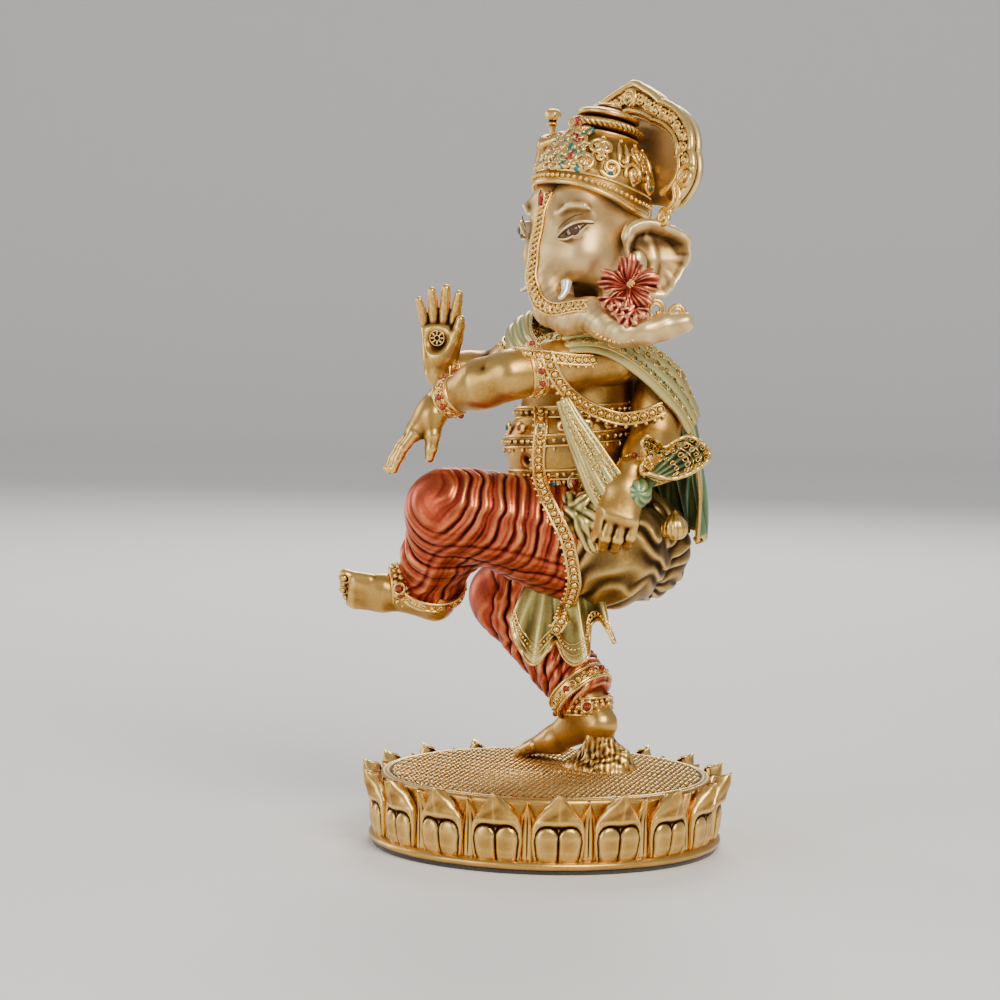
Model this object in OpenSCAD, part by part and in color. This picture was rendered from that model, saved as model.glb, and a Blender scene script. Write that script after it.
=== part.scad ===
// Dancing elephant-headed figure on a round lotus base, cast in pieces and pinned together.
// Millimetres. +Z is up, the figure faces -Y, its own left side is +X, and the origin is the
// middle of the underside. The figure's points are heights above the base's seeded top.

/* [Base] */
// Radius of the plain foot flange
flange_r = 62; // [58:0.5:70]
// Height of the seeded top above the table
base_h = 25; // [21:0.5:30]
// Radius to the outside of the petals
petal_r = 65.5; // [64:0.5:72]
// Number of petals round the base
petal_count = 18; // [14:1:22]
// Thickness of the cast walls of the base
base_wall = 4; // [3:0.5:6]
// Thickness of the felt underneath
felt_t = 1.2; // [0.8:0.1:2]

/* [Figure] */
// Height of the figure above the base, to the peak of the halo
figure_h = 243; // [200:1:290]
// Turn of the head about the vertical, in degrees
head_yaw = -6; // [-12:1:6]
// Lean of the crown to the back, in degrees
crown_lean = 13; // [10:1:26]
// Lean of the halo to the back, in degrees
halo_lean = 9; // [4:1:14]
// Half width of the halo
halo_half_w = 37; // [32:0.5:40]
// Number of scallops along one side of the halo
scallops = 7; // [5:1:9]

/* [Hidden] */
$fn = 28;

brass = [0.72, 0.55, 0.24];
dark_brass = [0.45, 0.33, 0.14];
red = [0.62, 0.22, 0.13];
green = [0.36, 0.5, 0.38];
cream = [0.86, 0.78, 0.62];

// The figure is drawn this tall and then scaled to figure_h
drawn_h = 243;
k = figure_h / drawn_h;
// A cone is a little thinner than the balls at its ends, so the faces cross cleanly
taper_fit = 0.93;

// Standing leg
right_hip = [-3, 25, 80];
right_knee = [-38, 14, 59];
right_ankle = [-1, 20, 25];
right_heel = [6, 24, 18];
right_toe = [-28, 15, 4];
// Raised leg
left_hip = [19, 10, 80];
left_knee = [-14, -36, 94];
left_ankle = [-35, -25, 65];
left_toe = [-54, -47, 62];
// Trunk of the body
pelvis_c = [11, 24, 81];
waist = [6, 14, 98];
belly = [1, 6, 114];
chest = [2, 12, 135];
neck = [4, 13, 156];
// Arms
left_shoulder = [22, 6, 146];
left_elbow = [4, -28, 140];
left_wrist = [-22, -33, 130];
left_tip = [-36, -43, 104];
right_shoulder = [-22, 10, 147];
right_elbow = [-46, 16, 139];
right_wrist = [-50, -9, 141];
right_tip = [-47, -6, 171];
rear_left_shoulder = [24, 25, 137];
rear_left_elbow = [31, 19, 119];
rear_left_wrist = [35, 6, 107];
rear_left_tip = [37, 1, 88];
rear_right_shoulder = [-18, 27, 143];
rear_right_elbow = [-36, 34, 175];
rear_right_wrist = [-34, 30, 210];
rear_right_fist = [-32.5, 28.5, 222];
// Head
head_c = [6, 9, 188];
skull_r = 20;
crown_z = 11;
crown_r = 22;

function lerp(a, b, t) = a + (b - a) * t;
function mid(a, b) = lerp(a, b, 0.5);

module figure_space() translate([0, 0, base_h]) scale(k) children();
module head_space() figure_space() translate(head_c) rotate([0, 0, head_yaw]) children();
module crown_space() head_space() translate([0, 3, crown_z]) rotate([-crown_lean, 0, 0]) children();
module halo_space() head_space() translate([0, 12.5, 0]) rotate([-halo_lean, 0, 0]) children();

// Points the local +Z axis from a towards b, with the origin at a
module aim(a, b) {
    d = b - a;
    translate(a)
        rotate([0, acos(d[2] / norm(d)), atan2(d[1], d[0])])
            children();
}

module ball(p, r) translate(p) sphere(r = r);

// A ball turned so that its seam lies clear of the cones that meet it
module turned_ball(p, r, turn) translate(p) rotate([0, 0, turn]) sphere(r = r);

module cone(a, b, ra, rb)
    aim(a, b) cylinder(h = norm(b - a), r1 = ra * taper_fit, r2 = rb * taper_fit);

// A chain of balls and cones through the points
module limb(points, radii) {
    for (i = [0:len(points) - 1]) ball(points[i], radii[i]);
    for (i = [0:len(points) - 2]) cone(points[i], points[i + 1], radii[i], radii[i + 1]);
}

// A limb with a hollow end that seats on the ball of the piece before it
module seated_limb(points, radii)
    difference() {
        union() {
            for (i = [1:len(points) - 1]) {
                ball(points[i], radii[i]);
                cone(points[i - 1], points[i], radii[i - 1], radii[i]);
            }
        }
        ball(points[0], radii[0]);
    }

// A ring of a given section round the line from a to b, at the fraction t
module ring(a, b, t, inner_r, section_r, height)
    aim(lerp(a, b, t), lerp(a, b, t + 1))
        translate([0, 0, -height / 2])
            rotate_extrude()
                translate([inner_r, 0])
                    square([section_r, height]);

// Separate beads along a path of points, spaced so that they never touch
bead_pitch = 2.25;
module beads(points, r)
    for (i = [0:len(points) - 2])
        let (n = max(1, floor(norm(points[i + 1] - points[i]) / (bead_pitch * r))))
            for (j = [0:n - 1]) ball(lerp(points[i], points[i + 1], (j + 0.5) / n), r);

// ---- base ----

module felt_pad() color([0.12, 0.1, 0.09])
    difference() {
        cylinder(h = felt_t, r = flange_r - 1.5);
        translate([bolt_c[0], bolt_c[1], -1]) cylinder(h = felt_t + 2, r = 7);
    }

core_r = flange_r - 3;
// The bolt holds the foot support down through the base
support_c = [4, 21];
bolt_c = support_c * k;
module lotus_base() color(brass)
    difference() {
        rotate_extrude()
            polygon([
                [0, felt_t], [flange_r - 0.8, felt_t], [flange_r, felt_t + 1], [flange_r, 3.6],
                [core_r, 5.2], [core_r, base_h - 3], [0, base_h - 3]
            ]);
        translate([0, 0, -1]) cylinder(h = base_h - 3 - base_wall + 1, r = core_r - base_wall);
        translate([bolt_c[0], bolt_c[1], -1]) cylinder(h = base_h, r = 2.6);
    }

petal_w = 2 * core_r * tan(180 / petal_count) * 0.92;
module petal(w, h, inner_r, outer_r)
    difference() {
        translate([inner_r - 4, 0, 0])
            rotate([90, 0, 90])
                linear_extrude(outer_r - inner_r + 4)
                    polygon([
                        [-w * 0.36, 0], [-w * 0.5, h * 0.3], [-w * 0.44, h * 0.55], [0, h],
                        [w * 0.44, h * 0.55], [w * 0.5, h * 0.3], [w * 0.36, 0]
                    ]);
        translate([0, 0, -1]) cylinder(h = h + 2, r = inner_r);
    }

module lotus_petals() color(brass)
    for (i = [0:petal_count - 1])
        rotate([0, 0, i * 360 / petal_count])
            translate([0, 0, 5.4]) petal(petal_w, base_h - 1.4, core_r, petal_r);

module lotus_sepals() color(dark_brass)
    for (i = [0:petal_count - 1])
        rotate([0, 0, (i + 0.5) * 360 / petal_count])
            translate([core_r + 1, 0, base_h - 4]) rotate([0, 12, 0]) cylinder(h = 5, r1 = 1, r2 = 0.3);

module seed_disc() color(dark_brass)
    translate([0, 0, base_h - 3])
        difference() {
            rotate_extrude()
                polygon([[0, 0], [core_r - 0.6, 0], [core_r - 0.6, 3.4], [core_r - 2.4, 3.4], [core_r - 3, 3], [0, 3]]);
            translate([bolt_c[0], bolt_c[1], -1]) cylinder(h = 6, r = 2.6);
        }

module base_bolt() color([0.7, 0.7, 0.72])
    translate([bolt_c[0], bolt_c[1], base_h - 3 - base_wall - 3.6]) {
        cylinder(h = 3.5, r = 5, $fn = 6);
        translate([0, 0, 3.4]) cylinder(h = base_wall + 3 + 5.6, r = 2.5);
    }

// ---- standing leg ----

module support_shape()
    translate([support_c[0], support_c[1], 0]) cylinder(h = 10, r1 = 12.5, r2 = 7.5);

module foot_support() color(dark_brass)
    figure_space()
        difference() {
            support_shape();
            translate([support_c[0], support_c[1], -1]) cylinder(h = 7.2, r = 2.6 / k);
            standing_foot_shape();
        }

module standing_foot_shape() {
    limb([right_ankle, right_heel], [7, 6]);
    limb([right_heel, mid(right_heel, right_toe), right_toe], [6, 5, 4]);
}

module standing_foot() color(brass)
    figure_space()
        difference() {
            standing_foot_shape();
            translate([-60, -60, -20]) cube([120, 120, 20]);
        }

module standing_anklet() color(brass)
    figure_space() ring(right_ankle, right_heel, 0.45, 7.2, 2, 3);

module standing_leg_shape() limb([right_hip, right_knee, right_ankle], [18, 12.5, 10]);

module standing_leg() color(red)
    figure_space()
        difference() {
            standing_leg_shape();
            ball(pelvis_c, 20.5);
            standing_foot_shape();
            raised_thigh_shape();
        }

module standing_cuff() color(brass)
    figure_space() ring(right_knee, right_ankle, 0.93, 10.6, 1.6, 4);

// ---- raised leg ----

module raised_thigh_shape() limb([left_hip, left_knee], [21, 13.5]);

module raised_thigh() color(red)
    figure_space()
        difference() {
            union() {
                ball(left_hip, 21);
                cone(left_hip, left_knee, 21, 13.5);
                turned_ball(left_knee, 13.5, 234);
            }
            ball(pelvis_c, 20.5);
            ball(belly, 22);
            ball(waist, 18.5);
        }

module raised_calf() color(red)
    figure_space() seated_limb([left_knee, left_ankle], [13.5, 11.5]);

module raised_cuff() color(brass)
    figure_space() ring(left_knee, left_ankle, 0.97, 11.6, 1.4, 4);

module raised_foot() color(brass)
    figure_space()
        difference() {
            union() {
                cone(left_ankle, mid(left_ankle, left_toe), 11.5, 6.5);
                turned_ball(mid(left_ankle, left_toe), 6.5, 139);
                cone(mid(left_ankle, left_toe), left_toe, 6.5, 5.5);
                turned_ball(left_toe, 5.5, 229);
            }
            ball(left_ankle, 11.5);
        }

module raised_anklet() color(brass)
    figure_space() ring(left_ankle, left_toe, 0.42, 7.2, 2, 4);

// ---- body ----

module pelvis() color(red)
    figure_space() ball(pelvis_c, 20.5);

module torso_shape() limb([waist, belly, chest, neck], [18.5, 22, 19, 9.5]);

module torso() color(brass)
    figure_space()
        difference() {
            torso_shape();
            ball(pelvis_c, 20.5);
        }

module waist_belt() color(brass)
    figure_space()
        difference() {
            ring(pelvis_c, belly, 0.62, 17, 7, 7);
            torso_shape();
            raised_thigh_shape();
            ball(pelvis_c, 20.5);
        }

module sash_hem() color(green)
    figure_space()
        difference() {
            limb([[0, -5, 66], [16, 4, 60], [26, 16, 66]], [7, 8, 7]);
            raised_thigh_shape();
            standing_leg_shape();
            ball(pelvis_c, 20.5);
        }

module sash_knot() color(brass)
    figure_space()
        difference() {
            limb([[27, -2, 100], [29, 2, 88]], [7, 6]);
            raised_thigh_shape();
            torso_shape();
            ball(pelvis_c, 20.5);
        }

garland = [
    [11, -18, 128], [8, -18, 116], [11, -18, 106], [20, -17, 99], [27, -13, 92],
    [30, -12, 82], [28, -12, 73], [23, -12, 64], [16, -11, 58]
];
module front_garland() color(brass)
    figure_space() beads(garland, 1.9);

shawl = [[8, -8, 150], [9, -13, 140], [15, -15, 132], [25, -10, 129], [33, 0, 129], [36, 12, 130], [36, 22, 127]];
module shawl_hem() color(brass)
    figure_space() beads(shawl, 2);

module shoulder_scarf() color(green)
    figure_space()
        difference() {
            translate([4, 14, 141]) cylinder(h = 15, r1 = 27, r2 = 12);
            torso_shape();
            left_arm_shape();
            right_arm_shape();
            rear_left_arm_shape();
            rear_right_arm_shape();
            trunk_shape();
        }

module back_scarf() color(green)
    figure_space()
        difference() {
            limb([[22, 36, 142], [28, 38, 120], [30, 36, 98]], [6, 7, 6]);
            torso_shape();
            rear_left_arm_shape();
            ball(pelvis_c, 20.5);
        }

module front_sash() color(green)
    figure_space()
        difference() {
            limb([[16, -8, 134], [22, -6, 118], [26, 2, 104]], [4, 4.5, 4.5]);
            torso_shape();
            raised_thigh_shape();
            limb([[27, -2, 100], [29, 2, 88]], [7, 6]);
        }

// ---- front arms ----

module left_arm_shape() limb([left_shoulder, left_elbow], [10, 7.5]);

module left_upper_arm() color(brass)
    figure_space()
        difference() {
            union() {
                ball(left_shoulder, 10);
                cone(left_shoulder, left_elbow, 10, 7.5);
                turned_ball(left_elbow, 7.5, 242);
            }
            ball(chest, 19);
            cone(chest, neck, 19, 9.5);
        }

module left_armlet() color(brass)
    figure_space() ring(left_shoulder, left_elbow, 0.74, 8.2, 1.6, 4);

module left_forearm() color(brass)
    figure_space() seated_limb([left_elbow, left_wrist], [7.5, 5]);

module left_bangle() color(brass)
    figure_space() ring(left_elbow, left_wrist, 0.88, 5.6, 1.9, 5);

module left_hand() color(brass)
    figure_space()
        seated_limb([left_wrist, lerp(left_wrist, left_tip, 0.45), left_tip], [5, 5.4, 2.6]);

module right_arm_shape() limb([right_shoulder, right_elbow], [10, 7.5]);

module right_upper_arm() color(brass)
    figure_space()
        difference() {
            right_arm_shape();
            torso_shape();
        }

module right_forearm() color(brass)
    figure_space() seated_limb([right_elbow, right_wrist], [7.5, 5]);

module right_bangle() color(brass)
    figure_space() ring(right_elbow, right_wrist, 0.85, 5.6, 1.6, 4);

module right_hand() color(brass)
    figure_space()
        seated_limb([right_wrist, lerp(right_wrist, right_tip, 0.4), right_tip], [5, 6, 3]);

// ---- rear arms ----

module rear_left_arm_shape()
    limb([rear_left_shoulder, rear_left_elbow, rear_left_wrist], [9.5, 7.5, 5.5]);

module rear_left_arm() color(brass)
    figure_space()
        difference() {
            rear_left_arm_shape();
            ball(chest, 19);
        }

module rear_left_bangle() color(brass)
    figure_space() ring(rear_left_elbow, rear_left_wrist, 0.9, 6, 1.8, 4);

module rear_left_hand() color(brass)
    figure_space()
        seated_limb([rear_left_wrist, lerp(rear_left_wrist, rear_left_tip, 0.5), rear_left_tip], [5.5, 6.5, 4.5]);

sweet_c = [46, 14, 88];
module sweet() color(brass)
    figure_space() translate(sweet_c) {
        sphere(r = 4.5);
        cylinder(h = 7.5, r1 = 3.2, r2 = 0.4);
    }

module scarf_knot() color(green)
    figure_space() ball([41, 1, 101], 4.6);

module scarf_end() color(green)
    figure_space()
        aim([45, 5, 108], [54, 13, 118]) cylinder(h = 11, r1 = 4, r2 = 9);

module rear_right_arm_shape()
    limb([rear_right_shoulder, rear_right_elbow, rear_right_wrist], [9.5, 7, 5]);

module rear_right_arm() color(brass)
    figure_space()
        difference() {
            rear_right_arm_shape();
            ball(chest, 19);
            ball(right_shoulder, 10);
        }

module rear_right_hand() color(brass)
    figure_space()
        difference() {
            seated_limb([rear_right_wrist, rear_right_fist], [5, 6.6]);
            goad_shape();
        }

module goad_shape()
    translate(rear_right_fist) {
        translate([0, 0, -4]) cylinder(h = 12, r = 1.5);
        translate([0, 0, 9.6]) sphere(r = 3);
    }

module goad() color(brass)
    figure_space() goad_shape();

// ---- head ----

module head_shape() {
    sphere(r = skull_r);
    limb([[0, -6, -4], [0, -16, -10]], [16, 11]);
    limb([[-9, -7, -13], [9, -7, -13]], [11, 11]);
}

module head() color(cream)
    difference() {
        head_space() head_shape();
        crown_space() translate([-40, -40, 0]) cube([80, 80, 60]);
        figure_space() torso_shape();
        figure_space() trunk_shape();
    }

trunk_points = [[4, -8, 179], [3.5, -9, 166], [19, -7, 159]];
trunk_radii = [9, 7, 5.4];
tip_points = [[19, -7, 159], [36, 0, 157.5], [52, 14, 161]];
tip_radii = [5.4, 4.5, 2.8];
module trunk_shape() limb(trunk_points, trunk_radii);

module trunk() color(cream)
    figure_space() trunk_shape();

module trunk_tip() color(cream)
    figure_space() seated_limb(tip_points, tip_radii);

braid = [
    [4, -11.5, 201], [4, -17, 189], [3.5, -19, 178], [3, -18, 166], [7, -15.5, 159.7], [16, -13.2, 156]
];
module trunk_braid() color(brass)
    figure_space() beads(braid, 1.6);

module trunk_scroll() color(brass)
    figure_space()
        for (p = [[42, -1, 165], [49, 6, 166]])
            translate(p)
                rotate([0, 90, -45])
                    rotate_extrude() translate([2.6, 0]) circle(r = 0.9);

module tusks() color(cream)
    difference() {
        head_space()
            for (s = [-1, 1])
                aim([s * 9, -19, -19], [s * 12, -29, -23]) cylinder(h = 9, r1 = 2.4, r2 = 1.4);
        head_space() head_shape();
        figure_space() trunk_shape();
    }

module ear(s)
    head_space()
        difference() {
            translate([s * 16, 7, 1])
                rotate([0, 0, s * 16])
                    rotate([90, 0, 0])
                        linear_extrude(4, center = true)
                            polygon([
                                [0, 13], [s * 10, 17], [s * 22, 14], [s * 26, 2], [s * 21, -14],
                                [s * 12, -20], [s * 3, -13], [0, -6]
                            ]);
            head_shape();
        }

module left_ear() color(cream) difference() { ear(1); halo_cut(); }
module right_ear() color(cream) difference() { ear(-1); halo_cut(); }

// Everything from the front face of the halo backwards
module halo_cut() halo_space() translate([-50, -2.2, -30]) cube([100, 40, 120]);

module hibiscus() color(red)
    figure_space()
        difference() {
            aim([37.5, -2.5, 170.5], [42.5, -9.5, 171.5]) translate([0, 0, -2]) cylinder(h = 6.5, r1 = 4.5, r2 = 9.6);
            limb(tip_points, tip_radii);
        }

// ---- crown ----

module crown_band() color(brass)
    difference() {
        crown_space()
            rotate_extrude() polygon([[15, 0], [crown_r, 0], [crown_r + 0.8, 2], [crown_r - 0.2, 8], [15, 8]]);
        halo_cut();
    }

dome_profile = [
    [0, 0], [crown_r - 1, 0], [crown_r - 1.6, 5], [crown_r - 5, 11.5], [crown_r - 10, 16], [0, 16]
];
module crown_dome() color(brass)
    difference() {
        crown_space() {
            difference() {
                cylinder(h = 8, r = 15);
                translate([0, 0, -1]) cylinder(h = 8, r = 3);
            }
            translate([0, 0, 8]) rotate_extrude() polygon(dome_profile);
        }
        halo_cut();
    }

module crown_finial() color(brass)
    crown_space() translate([0, 0, 24]) rotate_extrude()
        polygon([
            [0, 0], [8.5, 0], [9.3, 1.2], [9.3, 2.6], [7.5, 3.6], [6, 4.2], [6.8, 5.6], [5.4, 7.4],
            [3, 8.6], [2, 10], [0, 11]
        ]);

module crown_jewels() color(red)
    crown_space()
        difference() {
            for (i = [-3:3])
                rotate([0, 0, -90 + i * 30]) translate([crown_r - 2.5, 0, 12.5]) sphere(r = 3);
            translate([0, 0, 8]) rotate_extrude() polygon(dome_profile);
            rotate_extrude() polygon([[0, 0], [crown_r, 0], [crown_r + 0.8, 2], [crown_r - 0.2, 8], [0, 8]]);
        }

// ---- halo ----

// Half outline of the halo: round shoulders that rise to a point, from the bottom upwards
halo_h = 55.6;
halo_low = 2;
shoulder_t = 0.42;
function above_shoulder(u) = cos(90 * u) - (u > 0.5 ? 0.09 * sin(360 * (u - 0.5)) : 0);
function below_shoulder(u) = 0.74 + 0.26 * sin(90 * u);
function halo_edge(t) = [
    halo_half_w * (t > shoulder_t ? above_shoulder((t - shoulder_t) / (1 - shoulder_t))
                                  : below_shoulder(t / shoulder_t)),
    halo_low + (halo_h - halo_low) * t
];
function scalloped(t) = halo_edge(t) + 1.3 * abs(sin(180 * scallops * t)) * [cos(90 * t), 0.3 * sin(90 * t)];
function half_outline(n, inset) = [
    for (i = [0:n]) let (p = scalloped(i / n)) [p[0] * (1 - inset), halo_low + (p[1] - halo_low) * (1 - inset)]
];
function mirrored(pts) = [for (i = [len(pts) - 2:-1:0]) [-pts[i][0], pts[i][1]]];
module halo_outline(inset) let (h = half_outline(42, inset)) polygon(concat(h, mirrored(h)));
module halo_slab(inset, t) rotate([90, 0, 0]) linear_extrude(t) halo_outline(inset);

module halo_plate() color(cream)
    difference() {
        halo_space() halo_slab(0.15, 1.4);
        head_space() sphere(r = skull_r);
    }

module halo_rim() color(brass)
    difference() {
        halo_space() difference() {
            translate([0, 0.6, 0]) halo_slab(0, 2.8);
            translate([0, 2, 0]) halo_slab(0.15, 6);
        }
        head_space() sphere(r = skull_r);
    }

// ---- pins ----

// Steel dowels across the seats between the separate castings
module dowel_pins() color([0.7, 0.7, 0.72]) {
    crown_space() translate([0, 0, 0.2]) cylinder(h = 6.5, r = 3);
}

felt_pad();
lotus_base();
lotus_petals();
lotus_sepals();
seed_disc();
base_bolt();
foot_support();
standing_foot();
standing_anklet();
standing_cuff();
standing_leg();
raised_thigh();
raised_calf();
raised_cuff();
raised_anklet();
raised_foot();
pelvis();
sash_hem();
sash_knot();
torso();
waist_belt();
front_garland();
shawl_hem();
shoulder_scarf();
back_scarf();
front_sash();
left_upper_arm();
left_armlet();
left_forearm();
left_bangle();
left_hand();
right_upper_arm();
right_forearm();
right_bangle();
right_hand();
rear_left_arm();
rear_left_bangle();
rear_left_hand();
sweet();
scarf_knot();
scarf_end();
rear_right_arm();
rear_right_hand();
goad();
head();
trunk();
trunk_tip();
trunk_braid();
trunk_scroll();
tusks();
left_ear();
right_ear();
hibiscus();
crown_band();
crown_dome();
crown_finial();
crown_jewels();
halo_plate();
halo_rim();
dowel_pins();
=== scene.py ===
"""Antiqued dancing figure with an elephant head on a lotus base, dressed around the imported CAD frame.

The cast limbs, head and cloth are sculpted as distance fields in numpy, in millimetres, and meshed
with OpenVDB; beads, rims, scrolls, petals and ruffles are built as meshes. Places and main sizes
come from the boxes of the CAD nodes. The figure faces -Y, and its own left side is +X.
"""
import math

import bpy
import numpy as np
import openvdb
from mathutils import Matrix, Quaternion, Vector


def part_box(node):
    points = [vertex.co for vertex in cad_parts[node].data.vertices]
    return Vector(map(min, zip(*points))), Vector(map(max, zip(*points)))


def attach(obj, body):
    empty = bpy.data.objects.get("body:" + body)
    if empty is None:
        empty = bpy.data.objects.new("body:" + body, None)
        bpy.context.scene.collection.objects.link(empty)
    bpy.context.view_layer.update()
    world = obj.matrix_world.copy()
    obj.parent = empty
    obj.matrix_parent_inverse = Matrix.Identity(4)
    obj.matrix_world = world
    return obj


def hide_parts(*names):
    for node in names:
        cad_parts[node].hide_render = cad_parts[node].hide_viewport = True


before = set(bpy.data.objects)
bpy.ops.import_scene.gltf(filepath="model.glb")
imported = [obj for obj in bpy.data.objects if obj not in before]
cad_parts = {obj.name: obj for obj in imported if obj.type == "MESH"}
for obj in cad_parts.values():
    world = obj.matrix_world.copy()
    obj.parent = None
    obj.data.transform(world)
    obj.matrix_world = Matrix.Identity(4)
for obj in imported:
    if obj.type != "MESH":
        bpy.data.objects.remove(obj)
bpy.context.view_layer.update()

MM = 0.001
FINE = 0.42      # voxel of the body's fields, in mm
EXTRA_FINE = 0.3  # voxel of the head's, hands' and feet's fields, in mm
rng = np.random.default_rng(7)


# ---------------------------------------------------------------- places from the frame

def V(*values):
    return np.array(values, dtype=np.float64)


def box(node):
    """Lowest and highest corner of a CAD node, in mm."""
    lo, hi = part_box(node)
    return np.array(lo) / MM, np.array(hi) / MM


def middle(node):
    lo, hi = box(node)
    return (lo + hi) / 2


def ball_in(node, sides, radius):
    """Centre of a ball that fills the corner of a node's box; a side of 0 keeps the box's middle."""
    lo, hi = box(node)
    low_end, high_end, centre = lo + radius, hi - radius, (lo + hi) / 2
    return np.array([low_end[i] if s < 0 else high_end[i] if s > 0 else centre[i]
                     for i, s in enumerate(sides)])


def lerp(a, b, t):
    return a + (b - a) * t


def unit(v):
    return v / np.linalg.norm(v)


def frame_axes(z, hint=(0.0, 0.0, 1.0)):
    """Three unit axes as rows, the third along z and the second as near as may be to hint."""
    z = unit(np.asarray(z, float))
    x = np.cross(np.asarray(hint, float), z)
    x = unit(x) if np.linalg.norm(x) > 1e-6 else V(1, 0, 0)
    return np.stack([x, np.cross(z, x), z])


def turn_z(degrees):
    c, s = math.cos(math.radians(degrees)), math.sin(math.radians(degrees))
    return np.array([[c, -s, 0], [s, c, 0], [0, 0, 1.0]])


def turn_x(degrees):
    c, s = math.cos(math.radians(degrees)), math.sin(math.radians(degrees))
    return np.array([[1.0, 0, 0], [0, c, -s], [0, s, c]])


def turn_y(degrees):
    c, s = math.cos(math.radians(degrees)), math.sin(math.radians(degrees))
    return np.array([[c, 0, s], [0, 1.0, 0], [-s, 0, c]])


# ---------------------------------------------------------------- distance fields

def smin(a, b, k):
    """Union of two fields with a fillet of about k mm."""
    if k <= 0:
        return np.minimum(a, b)
    h = np.maximum(k - np.abs(a - b), 0) / k
    return np.minimum(a, b) - h * h * k * 0.25


def smax(a, b, k):
    return -smin(-a, -b, k)


def smooth(x, lo, hi):
    t = np.clip((x - lo) / (hi - lo), 0, 1)
    return t * t * (3 - 2 * t)


def bump(x, centre, width):
    """A smooth hill of height 1 at centre that ends at centre plus or minus width."""
    t = np.clip(1 - np.abs(x - centre) / width, 0, 1)
    return t * t * (3 - 2 * t)


def length3(v):
    return np.sqrt(np.einsum("...i,...i->...", v, v))


def along(p, a, b):
    """Fraction of the way from a to b of each point, unclamped."""
    ab = (b - a).astype(np.float32)
    return ((p - a.astype(np.float32)) @ ab) / float(ab @ ab)


def sd_ball(p, c, r):
    return length3(p - np.float32(c)) - np.float32(r)


def sd_cone(p, a, b, ra, rb):
    t = np.clip(along(p, a, b), 0, 1)
    ab = np.float32(b - a)
    return length3(p - np.float32(a) - t[..., None] * ab) - np.float32(ra) - np.float32(rb - ra) * t


def sd_chain(p, points, radii, k):
    d = None
    for i in range(len(points) - 1):
        part = sd_cone(p, points[i], points[i + 1], radii[i], radii[i + 1])
        d = part if d is None else smin(d, part, k)
    return d


def sd_egg(p, c, radii, axes=None):
    """Ellipsoid; axes holds its own axes as rows."""
    q = p - np.float32(c)
    if axes is not None:
        q = q @ np.float32(axes).T
    r = np.float32(radii)
    k0 = length3(q / r)
    k1 = length3(q / (r * r)) + 1e-6
    return k0 * (k0 - 1) / k1


def sd_plane(p, point, normal):
    """Negative on the side that the normal points away from."""
    return (p - np.float32(point)) @ np.float32(unit(normal))


def value_noise(p, scale, seed=0):
    """Cheap smooth noise from a few turned sine waves, about -1 to 1."""
    r = np.random.default_rng(seed)
    total = 0
    for _ in range(4):
        d = unit(r.normal(size=3)).astype(np.float32)
        e = unit(r.normal(size=3)).astype(np.float32)
        total = total + np.sin(p @ d * np.float32(6.28 / scale) + 2.0 * np.sin(p @ e * np.float32(3.7 / scale)))
    return total / 4


BLOCK = 4
FAR = 3.0


def sculpt(name, lo, hi, shape, material, step=FINE, margin=2.0):
    """Meshes shape(points), a signed distance in mm, inside the box; only the blocks near the surface
    are sampled finely."""
    lo, hi = np.asarray(lo, float), np.asarray(hi, float)
    size = BLOCK * step
    counts = np.ceil((hi - lo) / size).astype(int) + 1
    axes = [l + (np.arange(n) + 0.5) * size for l, n in zip(lo, counts)]
    centres = np.stack(np.meshgrid(*axes, indexing="ij"), -1).astype(np.float32)
    coarse = shape(centres.reshape(-1, 3)).reshape(counts)
    active = np.abs(coarse) < size * 0.87 + margin
    values = np.repeat(np.repeat(np.repeat(np.where(coarse > 0, FAR, -FAR), BLOCK, 0), BLOCK, 1), BLOCK, 2)
    values = np.ascontiguousarray(values.astype(np.float32))
    blocks = values.reshape(counts[0], BLOCK, counts[1], BLOCK, counts[2], BLOCK).transpose(0, 2, 4, 1, 3, 5)
    local = (np.stack(np.meshgrid(*[np.arange(BLOCK)] * 3, indexing="ij"), -1) + 0.5) * step - size / 2
    points = centres[active][:, None, :] + local.reshape(1, -1, 3).astype(np.float32)
    fine = shape(points.reshape(-1, 3)).reshape((-1,) + (BLOCK,) * 3)
    blocks[active] = np.clip(fine, -FAR, FAR)
    border = np.ones(values.shape, bool)
    border[1:-1, 1:-1, 1:-1] = False
    values[border] = np.maximum(values[border], 0.5)
    grid = openvdb.FloatGrid()
    grid.background = FAR
    grid.copyFromArray(values)
    points, quads = grid.convertToQuads(isovalue=0.0)
    points = points * step + lo + step / 2
    return make_mesh(name, points, outward(points, quads), material)


# ---------------------------------------------------------------- meshes

def outward(verts, faces):
    """The quads of a closed shape, turned so that they face out of it."""
    v = verts - verts.mean(0)
    a, b, c, d = (v[faces[:, i]] for i in range(4))
    volume = np.einsum("ij,ij->", a, np.cross(b, c)) + np.einsum("ij,ij->", a, np.cross(c, d))
    return faces if volume > 0 else faces[:, ::-1]


def edges_of(faces):
    n = faces.shape[1]
    e = np.concatenate([faces[:, [i, (i + 1) % n]] for i in range(n)])
    e.sort(axis=1)
    key = e[:, 0].astype(np.int64) * (int(faces.max()) + 1) + e[:, 1]
    _, first = np.unique(key, return_index=True)
    return e[first]


def hollowness(verts, faces, normals, rounds):
    """How far each point lies below (above 0) or above (below 0) its smoothed surroundings, in mm."""
    e = edges_of(faces)
    n = len(verts)
    degree = np.maximum(np.bincount(e.ravel(), minlength=n), 1)
    s = verts.copy()
    for _ in range(rounds):
        for axis in range(3):
            near = np.bincount(e[:, 0], s[e[:, 1], axis], n) + np.bincount(e[:, 1], s[e[:, 0], axis], n)
            s[:, axis] = 0.35 * s[:, axis] + 0.65 * near / degree
    return np.einsum("ij,ij->i", s - verts, normals)


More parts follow.
